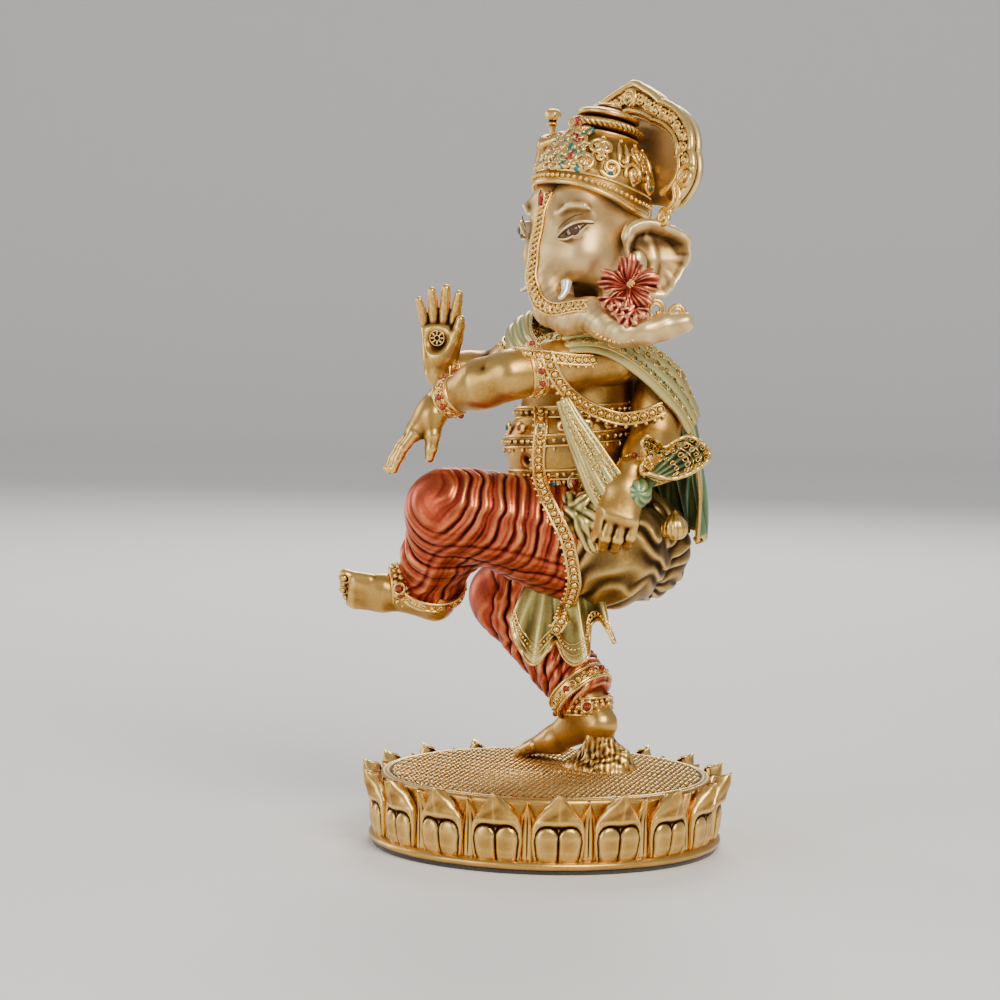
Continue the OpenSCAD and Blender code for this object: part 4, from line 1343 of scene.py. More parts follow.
def hibiscus():
    lo, hi = box("hibiscus")
    centre = (lo + hi) / 2
    axes = frame_axes(V(0.62, -0.76, 0.12))
    parts = Parts()
    n_r, n_a = 22, 46
    for k in range(5):
        turn = 2 * math.pi * k / 5 + 0.35
        r = np.linspace(0.06, 1, n_r)
        a = np.linspace(-1, 1, n_a)
        rr, aa = np.meshgrid(r, a, indexing="ij")
        reach = 10.6 * (1 - 0.36 * np.abs(aa) ** 2.6 + 0.06 * np.cos(aa * 9 + k * 2) + 0.03 * np.cos(aa * 23 + k))
        angle = turn + aa * (0.74 - 0.10 * rr) + 0.05 * np.sin(rr * 5 + k)
        radius = rr * reach
        lean = (-0.8, 0.9, 0.2, -0.5, 1.1)[k]
        height = (-1.2 + 5.0 * np.sin(np.minimum(rr * 1.75, 2.4)) - 3.2 * rr ** 2.6 + lean * rr
                  + 1.35 * rr ** 1.3 * np.sin(aa * 4.6 + k * 1.7) + 0.28 * rr * np.sin(aa * 19 + k * 2.1)
                  + 0.9 * rr ** 3 * np.cos(aa * 4.2 + k) + 1.0 * aa * rr)
        front = (centre + (radius * np.cos(angle))[..., None] * axes[0]
                 + (radius * np.sin(angle))[..., None] * axes[1] + height[..., None] * axes[2])
        verts, faces = thick_sheet(front, 0.6)
        parts.add(verts, faces)
    for i, (a0, b0) in enumerate(((-2.2, -6.4), (2.6, -7.6), (-5.4, -4.0), (0.4, -9.6))):
        curl_c = centre + axes[0] * a0 + axes[1] * b0 + axes[2] * (2.2 + 0.5 * (i % 2))
        s2, t2 = np.meshgrid(np.linspace(0.1, 1, 12), np.linspace(-1.5, 1.5, 20), indexing="ij")
        rad = s2 * 4.6 * (1 + 0.08 * np.cos(t2 * 9))
        up = 1.3 * np.sin(s2 * 2.2) + 0.5 * s2 * np.sin(t2 * 8 + i)
        leaf = (curl_c + (rad * np.sin(t2))[..., None] * axes[0] - (rad * np.cos(t2))[..., None] * axes[1]
                + up[..., None] * axes[2])
        verts, faces = thick_sheet(leaf, 0.5)
        parts.add(verts, faces)
    place(parts.mesh("hibiscus_petals", FLOWER), "red_wash", "hibiscus")
    heart = Parts()
    stem = path_points([centre + axes[2] * 0.5, centre + axes[2] * 4.2 + axes[0] * 0.6,
                        centre + axes[2] * 7.0 + axes[0] * 1.8 + axes[1] * 0.8], 20)
    add_tube(heart, stem, np.linspace(0.85, 0.5, 20), 10)
    for i in range(16):
        t = 2.39996 * i
        at = stem[10 + i // 2] + (axes[0] * math.cos(t) + axes[1] * math.sin(t)) * 0.85
        add_bead(heart, at, (0.42,) * 3)
    place(heart.mesh("hibiscus_stamen", BRIGHT), "brass")


# The dark stops paint shade into the petals' hollows and the bright ones paint highlights on their raised edges, over
# the real red wash
FLOWER = antique_with_painted_light("flower_wash", [
    (0.22, (0.018, 0.003, 0.002)), (0.40, (0.080, 0.009, 0.006)), (0.52, (0.24, 0.028, 0.016)),
    (0.64, (0.46, 0.085, 0.045)), (0.84, (0.78, 0.31, 0.15))], metallic=0.85, rough=(0.5, 0.3))
head_braid()
hibiscus()


# ---------------------------------------------------------------- lotus base

PETALS = 18


def base_frame(angle):
    """Rows: along the rim, outwards and up, at that angle in radians."""
    return np.array([[-math.sin(angle), math.cos(angle), 0], [math.cos(angle), math.sin(angle), 0], [0, 0, 1.0]])


def petal_shape(width, rows=46, cols=41):
    """Points (along the rim, outwards, up) of one cast leaf, its two lobes and pointed tip in relief."""
    v, u = np.meshgrid(np.linspace(0, 1, rows), np.linspace(-1, 1, cols), indexing="ij")
    half = width / 2 * np.interp(v, [0, 0.1, 0.3, 0.48, 0.58, 0.7, 0.82, 0.92, 1],
                                 [0.84, 0.93, 1.0, 0.99, 0.92, 0.72, 0.50, 0.32, 0.17])
    height = 3.4 + 24.0 * v ** 0.97
    round_off = np.sqrt(np.clip(1 - np.abs(u) ** 3.0, 0, 1))
    swell = np.interp(v, [0, 0.15, 0.35, 0.52, 0.62, 0.8, 1], [0.8, 2.2, 2.9, 2.9, 3.2, 4.5, 5.88])
    out = 58.6 + swell * (0.30 + 0.70 * round_off)
    lobe = np.full_like(u, 9.0)
    for side in (-1, 1):
        lobe = np.minimum(lobe, (np.abs((u - 0.42 * side) / 0.42) ** 2.4
                                 + np.abs((v - 0.30) / np.where(v > 0.30, 0.20, 0.62)) ** 2.2) ** 0.45)
    out = out + 0.85 * np.sqrt(np.clip(1 - lobe ** 2, 0, 1)) - 0.62 * bump(lobe, 1.10, 0.15)
    out = out - 0.5 * bump(u, 0, 0.08) * (1 - smooth(v, 0.30, 0.42))
    tip = smooth(v, 0.50, 0.58)
    out = out + tip * 1.9 * (1 - np.abs(u)) * (1 - 0.4 * smooth(v, 0.8, 1))
    out = out + 0.3 * value_noise(np.stack([u * 8, v * 20, u * 0], -1), 7, 33) * tip
    edge = bump(np.abs(u), 0.95, 0.09) * (1 - smooth(v, 0.5, 0.7))
    out = out + 0.3 * edge
    return np.stack([u * half, out, height], -1)


def solid_leaf(front, thick):
    """Closes a leaf with a back set in towards the middle of the base."""
    verts, faces = thick_sheet(front, thick)
    back = front.copy()
    back[..., 0] *= 0.86
    back[..., 1] -= thick
    back[..., 2] = 3.4 + (back[..., 2] - 3.4) * 0.965
    verts[verts.shape[0] // 2:] = back.reshape(-1, 3)
    return verts, faces


def petals():
    front = petal_shape(17.6)
    parts = Parts()
    for k in range(PETALS):
        axes = base_frame(2 * math.pi * k / PETALS)
        leaf = front.copy()
        leaf[..., 1] += 0.12 * rng.normal()
        leaf[..., 0] *= 1 + 0.015 * rng.normal()
        leaf[..., 2] += 0.12 * rng.normal()
        thick = np.clip(leaf[..., 1] - 56.8, 1.4, 4.2)
        thick = thick * (1 - 0.6 * smooth(leaf[..., 2], 19, 27.0))
        leaf[..., 2] -= 1.3 * np.linspace(-1, 1, leaf.shape[1]) ** 2 * smooth(leaf[..., 2], 22, 27)
        verts, faces = solid_leaf(leaf, thick)
        flat = verts @ axes + V(*axis_xy, 0)
        parts.add(flat, faces)
    place(parts.mesh("lotus_petal_ring", BRASS), "brass", "lotus_petals")
    small = Parts()
    for k in range(PETALS):
        axes = base_frame(2 * math.pi * (k + 0.5) / PETALS)
        v, u = np.meshgrid(np.linspace(0, 1, 22), np.linspace(-1, 1, 17), indexing="ij")
        half = 3.7 * np.interp(v, [0, 0.4, 0.75, 1], [1, 1, 0.62, 0.04])
        out = 57.9 + 1.7 * (1 - np.abs(u) ** 1.6) + 1.3 * smooth(v, 0.6, 1)
        out = out - 0.55 * (bump(u, 0, 0.16) + bump(np.abs(u), 0.5, 0.14)) * (1 - smooth(v, 0.5, 0.85))
        leaf = np.stack([u * half, out, 4.0 + 21.0 * v], -1)
        verts, faces = solid_leaf(leaf, 2.0)
        small.add(verts @ axes + V(*axis_xy, 0), faces)
    place(small.mesh("pointed_sepal_ring", BRASS), "brass", "lotus_sepals")


def base_body():
    axes = np.eye(3)
    centre = V(*axis_xy, 0)
    profile = [(52, 1.3), (56, 1.2), (59.6, 1.25), (61.2, 1.7), (62.0, 2.6), (61.9, 3.5), (61.0, 4.25),
               (59.6, 4.6), (58.4, 4.8), (57.8, 5.6), (57.7, 12), (57.9, 20), (58.2, 22.6), (58.3, 23.6),
               (57.9, 24.5), (57.2, 24.95), (56.5, 24.7), (56.1, 24.2), (55.9, 23.2), (54, 22.8), (54, 16),
               (53, 8), (52.4, 3), (52, 1.3)]
    dense = path_points([(r, h, 0) for r, h in profile], 150)[:, :2]
    dent = lambda a, r, h: (r + 0.10 * np.sin(7 * a + 1) * smooth(r, 50, 60) + 0.05 * np.sin(31 * a), h)
    verts, faces = lathe(dense, centre, axes, 300, dent)
    parts = Parts()
    parts.add(verts, faces)
    place(parts.mesh("base_wall_and_flange", BRASS), "brass", "lotus_base")
    rings, seg = 170, 640
    r = np.linspace(0.2, 57.0, rings)
    a = np.arange(seg) * 2 * math.pi / seg
    rr, aa = np.meshgrid(r, a, indexing="ij")
    x, y = rr * np.cos(aa), rr * np.sin(aa)
    pitch = 2.3
    turn = math.radians(62)
    gx, gy = x * math.cos(turn) + y * math.sin(turn), -x * math.sin(turn) + y * math.cos(turn)
    rise = np.zeros_like(x)
    for shift in (0.0, 0.5):
        cx = (np.round(gx / pitch - shift) + shift) * pitch
        row = pitch * math.sqrt(3)
        cy = (np.round(gy / row - shift) + shift) * row
        wobble = np.sin(cx * 12.9 + cy * 7.3)
        d = np.hypot(gx - cx - 0.16 * wobble, gy - cy - 0.16 * np.cos(cx * 5.1 + cy * 3.7))
        rise = np.maximum(rise, np.sqrt(np.clip(1 - (d / 1.04) ** 2, 0, 1)) * (1.0 + 0.16 * wobble))
    rise = rise * (1 - smooth(rr, 53.4, 54.6))
    edge = 0.8 * bump(rr, 55.6, 1.3)
    z = top_z - 0.55 + rise + edge + 0.12 * value_noise(np.stack([x, y, x * 0], -1), 22, 30)
    top = np.stack([x, y, z], -1) + centre
    low = np.stack([x, y, np.full_like(z, top_z - 3.0)], -1) + centre
    verts = np.concatenate([top.reshape(-1, 3), low.reshape(-1, 3)])
    f = grid_faces(rings, seg, wrap_cols=True)
    m = rings * seg
    ring_i = (rings - 1) * seg + np.arange(seg)
    ring_j = (rings - 1) * seg + (np.arange(seg) + 1) % seg
    skirt = np.stack([ring_i, ring_j, ring_j + m, ring_i + m], 1)
    parts = Parts()
    parts.add(verts, np.concatenate([f, f[:, ::-1] + m, skirt]))
    place(parts.mesh("seed_grain_top", BRASS), "seed_brass", "seed_disc")


def foot_mound():
    """The rough cast lump that joins the standing foot to the base."""
    lo, hi = box("foot_support")
    c = (lo + hi) / 2

    def field(p):
        d = sd_egg(p, V(c[0], c[1], top_z - 1), (13.5, 11, 5.6))
        d = smin(d, sd_egg(p, V(c[0] + 5.5, c[1] + 3, top_z + 1.0), (8.5, 7, 8)), 4)
        d = smin(d, sd_cone(p, V(c[0], c[1] + 1, top_z), right_heel + V(0, 0, -3), 7.4, 5.0), 4)
        n = value_noise(p, 6.5, 40) * 0.55 + value_noise(p, 3.2, 41) * 0.28
        grain = np.sin(p[..., 0] * 2.6 + value_noise(p, 5, 42) * 2) * np.sin(p[..., 1] * 2.4) * 0.22
        d = d + n * 0.8 + grain
        return smax(d, np.float32(top_z - 2.2) - p[..., 2], 0.3)

    lump = sculpt("cast_lump_under_foot", (c[0] - 18, c[1] - 16, top_z - 4), (c[0] + 20, c[1] + 16, hi[2] + 5),
                  field, BRASS)
    place(lump, "brass", "foot_support")


petals()
base_body()
foot_mound()
for name, material in (("felt_pad", FELT), ("base_bolt", STEEL), ("dowel_pins", STEEL)):
    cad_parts[name].data.materials.clear()
    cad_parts[name].data.materials.append(material)


# ---------------------------------------------------------------- crown

crown_c = on_head(0, 3, 11)
crown_axes = turn_x(CROWN_LEAN) @ head_axes
CROWN = [(0.0, 20.2), (1.2, 21.0), (3.0, 21.1), (7.5, 20.6), (11.5, 19.4), (15.5, 17.4), (19.0, 15.0),
         (21.6, 13.0), (23.0, 11.9)]


CROWN_BACK = 12.2        # the crown is flat behind, where it meets the halo plate


def crown_radius(h):
    return np.interp(h, [c[0] for c in CROWN], [c[1] for c in CROWN])


def rim_drop(a):
    """The band's lower edge rises over the brow and falls towards the ears and nape; a is 0 on the
    figure's left, -90 degrees at the front."""
    front = np.clip(-np.sin(a), -1, 1)
    return 2.0 * smooth(front, 0.35, 0.9) - 2.6 * (1 - smooth(front, -0.25, 0.5))


def on_crown(a, h, lift=0.0):
    a, h = np.broadcast_arrays(np.asarray(a, float), np.asarray(h, float))
    drop = rim_drop(a) * np.clip(1 - h / 9, 0, 1)
    r = crown_radius(h) + lift
    slope = np.interp(h, [0, 8, 14, 20, 23], [0, 0.15, 0.45, 0.75, 0.85])
    back = np.minimum(r * np.sin(a), CROWN_BACK)
    return (crown_c + (r * np.cos(a))[..., None] * crown_axes[0] + back[..., None] * crown_axes[1]
            + (h + drop + slope * lift)[..., None] * crown_axes[2])


def spiral(parts, a0, h0, size, turns, start, hand, thick=0.85, bead=1.0, lift=0.5):
    """A C-scroll laid on the dome: grows out of its eye in a spiral."""
    t = np.linspace(0, turns * 2 * math.pi, int(26 * turns) + 6)
    radius = size * (0.16 + 0.84 * t / t[-1])
    dx = radius * np.cos(start + hand * t)
    dz = radius * np.sin(start + hand * t)
    h = np.clip(h0 + dz, 0.4, 22.8)
    pts = on_crown(a0 + dx / crown_radius(h), h, lift)
    add_tube(parts, pts, np.linspace(thick * 1.15, thick * 0.75, len(pts)), 8)
    add_bead(parts, on_crown(a0, h0, lift), (bead,) * 3, shape=SMALL_BALL)


def crown():
    a = np.arange(240) * 2 * math.pi / 240
    h = np.linspace(0, 23, 60)
    hh, aa = np.meshgrid(h, a, indexing="ij")
    skin = on_crown(aa, hh, 0.22 * np.sin(aa * 30) * bump(hh, 12, 9) * 0.5)
    inner = on_crown(aa, hh, -2.4)
    closed = np.concatenate([skin, inner[::-1], skin[:1]])
    parts = Parts()
    parts.add(closed.reshape(-1, 3), grid_faces(len(closed), 240, wrap_cols=True))
    place(parts.mesh("crown_shell", DARK_BRASS), "brass", "crown_band", "crown_dome")
    rims = Parts()
    for height, lift, thick in ((0.4, 0.35, 0.85), (5.4, 0.2, 0.45), (22.6, 0.25, 0.6)):
        add_tube(rims, on_crown(a, np.full_like(a, height), lift), thick, 8, closed=True)
    n = 62
    for i in range(n):
        t = 2 * math.pi * i / n
        add_bead(rims, on_crown(t, 2.9, 0.35), (0.82, 0.82, 0.82), shape=SMALL_BALL)
    petals_n = 14
    for i in range(petals_n):
        t = 2 * math.pi * (i + 0.5) / petals_n - math.pi / 2
        hand = 1 if i % 2 else -1
        spiral(rims, t, 9.6, 3.7, 1.5, 0.4, hand, 1.05)
        spiral(rims, t + 0.14 * hand, 16.2, 3.2, 1.4, 2.4, -hand, 0.9)
        spiral(rims, t + 0.225, 12.6, 1.9, 1.0, 1.0 + i, hand, 0.6, 0.6)
        stem = [on_crown(t + 0.19 * hand * s, 6.2 + 14.5 * s, 0.35) for s in np.linspace(0, 1, 8)]
        add_tube(rims, path_points(stem, 22), np.linspace(0.6, 0.3, 22), 8)
        leaf = [on_crown(t - 0.14 * hand, 12 + 7.5 * s, 0.3 + 0.3 * s) for s in np.linspace(0, 1, 5)]
        add_tube(rims, path_points(leaf, 12), 0.2 + 0.75 * np.sin(np.linspace(0.2, math.pi - 0.1, 12)), 8)
        add_bead(rims, on_crown(t + 0.22, 20.4, 0.3), (0.9,) * 3, shape=SMALL_BALL)
    place(rims.mesh("crown_scrollwork", BRIGHT), "brass")
    jewels()
    bun()


def jewels():
    red, teal, cups = Parts(), Parts(), Parts()

    def stone(parts, angle, height, size, tall=1.0, lift=0.7):
        c = on_crown(angle, height, lift)
        out = unit(on_crown(angle, height, 2.0) - on_crown(angle, height, 0.0))
        axes = frame_axes(out, crown_axes[2])
        add_bead(parts, c, (size, size * tall, size * 0.72), axes)
        t = np.arange(18) * 2 * math.pi / 18
        ring = (c - out * 0.25 + np.cos(t)[:, None] * axes[0] * size * 1.18
                + np.sin(t)[:, None] * axes[1] * size * tall * 1.18)
        add_tube(cups, ring, 0.36, 6, closed=True)

    def comma(parts, angle, height, size, turn):
        t = np.linspace(0, 1, 12)
        sweep = turn + 2.6 * t
        h = np.clip(height + size * (np.sin(sweep) - math.sin(turn)), 0.8, 22.6)
        pts = on_crown(angle + size * (np.cos(sweep) - math.cos(turn)) / crown_radius(h), h, 0.6)
        add_tube(parts, pts, 0.25 + 0.8 * np.sin(np.linspace(0.1, math.pi - 0.05, 12)) * (1.2 - 0.5 * t), 8)

    for i in range(14):
        t = 2 * math.pi * i / 14 - math.pi / 2
        stone(red if i % 2 else teal, t + 0.225, 7.6, 1.1)
        stone(teal if i % 2 else red, t + 0.1, 16.2, 0.85)
    front = -math.pi / 2
    for row, (height, count) in enumerate(((7.4, 5), (10.8, 4), (14.2, 5), (17.6, 4), (20.8, 3))):
        for j in range(count):
            at = front + 0.12 + (j - (count - 1) / 2) * 0.19
            k = row * 3 + j
            first, second = ((red, teal), (teal, red))[k % 2]
            stone(first, at, height, 0.95 + 0.35 * (k % 3 == 0), 1.2, 0.6)
            spiral(cups, at + 0.035, height + 0.3, 2.7, 0.95, k * 1.3, 1 if k % 2 else -1, 0.9, 0.2, 0.7)
            comma(second, at + 0.095, height + 0.9, 1.6, k * 2.1)
    top = crown_c + crown_axes[2] * 23.6 - crown_axes[1] * 12.6
    for dx, dz, which in ((0, 0, red), (-2.4, -1.8, teal), (2.4, -1.8, red), (0, 2.6, red)):
        c = top + crown_axes[0] * dx + crown_axes[2] * dz
        add_bead(which, c, (1.35, 1.1, 1.35), crown_axes)
        add_bead(cups, c + crown_axes[1] * 0.8, (1.9, 1.2, 1.9), crown_axes)
    for side in (-1, 1):
        arch = [on_crown(front + 0.12 + side * wide, h, 0.5) for wide, h in (
            (0.50, 6.2), (0.55, 10), (0.46, 14), (0.30, 17.5), (0.24, 20.5), (0.06, 22.8))]
        add_tube(cups, path_points(arch, 50), np.linspace(0.95, 0.6, 50), 8)
    place(red.mesh("red_stones", RED_JEWEL), "jewels", "crown_jewels")
    place(teal.mesh("teal_stones", TEAL_JEWEL), "jewels")
    place(cups.mesh("stone_settings", BRIGHT), "brass")


def bun():
    c = crown_c
    profile = [(12.2, 21.6), (11.2, 22.4), (10.4, 23.2), (10.6, 24.2), (12.3, 25.0), (13.1, 26.1), (12.9, 27.2),
               (11.6, 27.9), (10.2, 28.3), (9.6, 28.9), (10.6, 29.5), (11.2, 30.3), (10.9, 31.1), (9.6, 31.7),
               (7.4, 32.4), (5.4, 33.0), (4.6, 33.6), (4.4, 34.2), (3.6, 34.8), (1.8, 35.1), (0.15, 35.2)]
    dense = path_points([(r, h, 0) for r, h in profile], 120)[:, :2]
    dense[:, 0] = np.maximum(dense[:, 0], 0.1)

    def rope(a, r, h):
        band = bump(h, 26.1, 1.9)
        return r + 0.32 * band * np.sin(a * 40 + h * 2.2), h + 0.15 * band * np.cos(a * 40)

    verts, faces = lathe(dense, c, crown_axes, 280, rope)
    parts = Parts()
    parts.add(verts, faces)
    place(parts.mesh("tiered_topknot", BRASS), "brass", "crown_finial")


# ---------------------------------------------------------------- halo

halo_c = on_head(0, 14.5, 0)
halo_axes = turn_x(HALO_LEAN) @ head_axes
HALO_MID, HALO_TOP, HALO_HALF = 22.0, 54.5, 38.6


def halo_edge(t, inset=0.0):
    """Outline at the fraction t from the lower left over the peak to the lower right, in the plate."""
    angle = np.radians(-128 + 256 * t)
    wide = HALO_HALF - inset
    tall = np.where(np.cos(angle) > 0, 27.0, 23.5) - inset
    scallop = 1 - 0.055 * (1 - np.abs(np.sin(angle * 3.5 + math.pi / 2)) ** 0.6)
    peak = np.exp(-(angle / 0.34) ** 2) * 0.088 + np.exp(-(angle / 0.10) ** 2) * 0.05
    r = scallop * (1 + peak * (1 - inset / 14))
    x = wide * np.sin(angle) * r
    z = HALO_MID + 1.5 + tall * np.cos(angle) * r
    return np.stack([x, z], -1)


def on_halo(xz, depth=0.0):
    xz = np.asarray(xz, float)
    return (halo_c + xz[..., :1] * halo_axes[0] + np.asarray(depth)[..., None] * halo_axes[1]
            + xz[..., 1:2] * halo_axes[2])


def halo():
    n, rows = 340, 40
    t = np.linspace(0, 1, n)
    edge = halo_edge(t)
    heart = np.stack([edge[:, 0] * 0.05, HALO_MID * 0.6 + (edge[:, 1] - HALO_MID) * 0.05], -1)
    s = np.linspace(0, 1, rows)[:, None, None]
    plate = heart * (1 - s) + edge * s
    dish = 1.0 * (1 - s[..., 0] ** 2) + 0.12 * np.sin(plate[..., 0] * 0.3)
    front = on_halo(plate[::-1], dish[::-1] + 1.0)
    verts, faces = thick_sheet(front, 2.0)
    parts = Parts()
    parts.add(verts, faces)
    place(parts.mesh("halo_face", PEARL), "pearl_gold", "halo_plate")
    trim = Parts()
    for inset, thick, depth in ((0.5, 1.35, -1.6), (7.6, 0.95, -1.7), (9.2, 0.45, -1.2)):
        add_tube(trim, on_halo(halo_edge(t, inset), np.full(n, depth)), thick, 10)
    band = on_halo(np.stack([halo_edge(t, 0.8 + 6.6 * q) for q in np.linspace(0, 1, 12)]),
                   np.full((12, n), -1.15) + 0.25 * np.sin(np.linspace(0, 1, 12) * math.pi)[:, None])
    verts, faces = thick_sheet(band, 0.8)
    back = Parts()
    back.add(verts, faces)
    place(back.mesh("halo_band_ground", DARK_BRASS), "brass")
    centre_line = halo_edge(t, 4.1)
    length = np.concatenate([[0], np.cumsum(np.linalg.norm(np.diff(centre_line, axis=0), axis=1))])
    for i, want in enumerate(np.arange(6, length[-1] - 6, 4.7)):
        at = np.array([np.interp(want, length, centre_line[:, k]) for k in (0, 1)])
        ahead = np.array([np.interp(want + 1.0, length, centre_line[:, k]) for k in (0, 1)])
        along_rim = unit(ahead - at)
        across = V(-along_rim[1], along_rim[0])
        q = np.linspace(0, 1.3 * 2 * math.pi, 26)
        radius = 2.1 * (1 - 0.6 * q / q[-1])
        hand = 1 if i % 2 else -1
        curl = at + (radius * np.cos(q))[:, None] * along_rim + (hand * radius * np.sin(q))[:, None] * across
        add_tube(trim, on_halo(curl, np.full(26, -2.1)), np.linspace(0.62, 0.45, 26), 6)
        add_bead(trim, on_halo(at, -2.4), (0.85,) * 3, shape=SMALL_BALL)
        between = at + along_rim * 2.35
        add_bead(trim, on_halo(between + across * 1.5, -2.0), (0.7,) * 3, shape=SMALL_BALL)
        add_bead(trim, on_halo(between - across * 1.5, -2.0), (0.7,) * 3, shape=SMALL_BALL)
    for side in (-1, 1):
        volute(trim, V(36.2 * side, 19.5), side, 4.2)
        volute(trim, V(28.4 * side, 5.4), side, 3.2)
        s_curve = [(37.4 * side, 21), (33.4 * side, 17.0), (34.2 * side, 11.5), (29.6 * side, 7.2),
                   (25.4 * side, 3.4)]
        for shift in (0.0, 2.3):
            path = [on_halo(V(x - shift * side, z), -2.7) for x, z in s_curve]
            add_tube(trim, path_points(path, 40), 0.95, 8)
    q = np.linspace(0, 1.6 * 2 * math.pi, 44)
    radius = 3.3 * (1 - 0.7 * q / q[-1])
    rose = np.stack([radius * np.cos(q - 1.2), HALO_TOP - 6.2 + radius * np.sin(q - 1.2)], -1)
    add_tube(trim, on_halo(rose, np.full(44, -2.7)), 0.85, 8)
    add_bead(trim, on_halo(V(0.2, HALO_TOP - 6.0), -3.0), (1.2,) * 3)
    place(trim.mesh("halo_scalloped_rim", BRIGHT), "brass", "halo_rim")
    spine = Parts()
    add_tube(spine, on_halo(halo_edge(t, 2.2), np.full(n, 3.0)), 0.9, 8)
    for x in (-12, 0, 12):
        path = [on_halo(V(x * (1 - 0.35 * s), 4 + 40 * s), 3.9 + 0.3 * math.sin(3 * s)) for s in np.linspace(0, 1, 6)]
        add_tube(spine, path_points(path, 30), np.linspace(1.1, 0.5, 30), 8)
    place(spine.mesh("halo_back_ribs", BRASS), "brass")


def volute(parts, at, side, size):
    q = np.linspace(0, 1.5 * 2 * math.pi, 42)
    radius = size * (1 - 0.72 * q / q[-1])
    curl = at + np.stack([side * radius * np.cos(q + 0.6), radius * np.sin(q + 0.6)], -1)
    add_tube(parts, on_halo(curl, np.full(42, -2.8)), np.linspace(1.25, 0.7, 42), 8)
    add_bead(parts, on_halo(at, -3.1), (1.0,) * 3)


crown()
halo()


# ---------------------------------------------------------------- laying things on the body

def body_field(p):
    d = smin(torso_field(p), seat(p), 2)
    d = smin(d, raised_leg(p), 1)
    d = smin(d, sd_cone(p, left_shoulder, left_elbow, 9.6, 7.8), 3)
    d = smin(d, sd_cone(p, rear_left_shoulder, rear_left_elbow, 9.4, 7.6), 3)
    d = smin(d, sd_cone(p, right_shoulder, right_elbow, 9.6, 7.2), 3)
    return smin(d, sd_cone(p, chest + V(0, 2, 8), neck + V(0, 0, 4), 12, 9.5), 4)


def lay(points, direction, lift, field=body_field, reach=26.0):
    """Moves each point along the direction until it rests that far above the outermost surface."""
    points = np.asarray(points, float)
    direction = np.broadcast_to(np.asarray(direction, float), points.shape)
    direction = direction / np.linalg.norm(direction, axis=-1, keepdims=True)
    s = np.linspace(reach, -reach, 105)
    samples = points[:, None, :] + direction[:, None, :] * s[None, :, None]
    d = field(samples.reshape(-1, 3).astype(np.float32)).reshape(samples.shape[:2])
    hit = d < lift
    first = np.where(hit.any(1), hit.argmax(1), len(s) // 2)
    best = s[first]
    known = hit.any(1)
    best = np.where(known, best, np.median(best[known]) if known.any() else 0.0)
    soft = np.convolve(np.pad(best, 3, mode="edge"), np.ones(7) / 7, mode="valid")
    return points + direction * soft[:, None]


def chain_strip(parts, pts, out, width, bead, cord=0.45, pitch=3.0, lace=0.0):
    """A string of round beads held between two cords, lying on a surface."""
    tangents = np.gradient(pts, axis=0)
    tangents /= np.linalg.norm(tangents, axis=1)[:, None]
    out = np.broadcast_to(np.asarray(out, float), pts.shape)
    out = out - tangents * np.einsum("ij,ij->i", out, tangents)[:, None]
    out /= np.linalg.norm(out, axis=1)[:, None]
    across = np.cross(tangents, out)
    for s in (-1, 1):
        add_tube(parts, pts + across * s * width + out * 0.1, cord, 8)
    length = np.concatenate([[0], np.cumsum(np.linalg.norm(np.diff(pts, axis=0), axis=1))])
    for want in np.arange(pitch / 2, length[-1], pitch):
        i = int(np.searchsorted(length, want))
        i = min(i, len(pts) - 1)
        add_bead(parts, pts[i] + out[i] * bead * 0.35, (bead,) * 3)
        t = np.arange(12) * 2 * math.pi / 12
        ring = (pts[i] + out[i] * 0.15 + np.cos(t)[:, None] * tangents[i] * bead * 1.35
                + np.sin(t)[:, None] * across[i] * bead * 1.35)
        add_tube(parts, ring, 0.26, 5, closed=True)
        if lace:
            add_bead(parts, pts[i] + across[i] * (width + lace) + out[i] * 0.1, (lace * 0.9,) * 3, shape=SMALL_BALL)


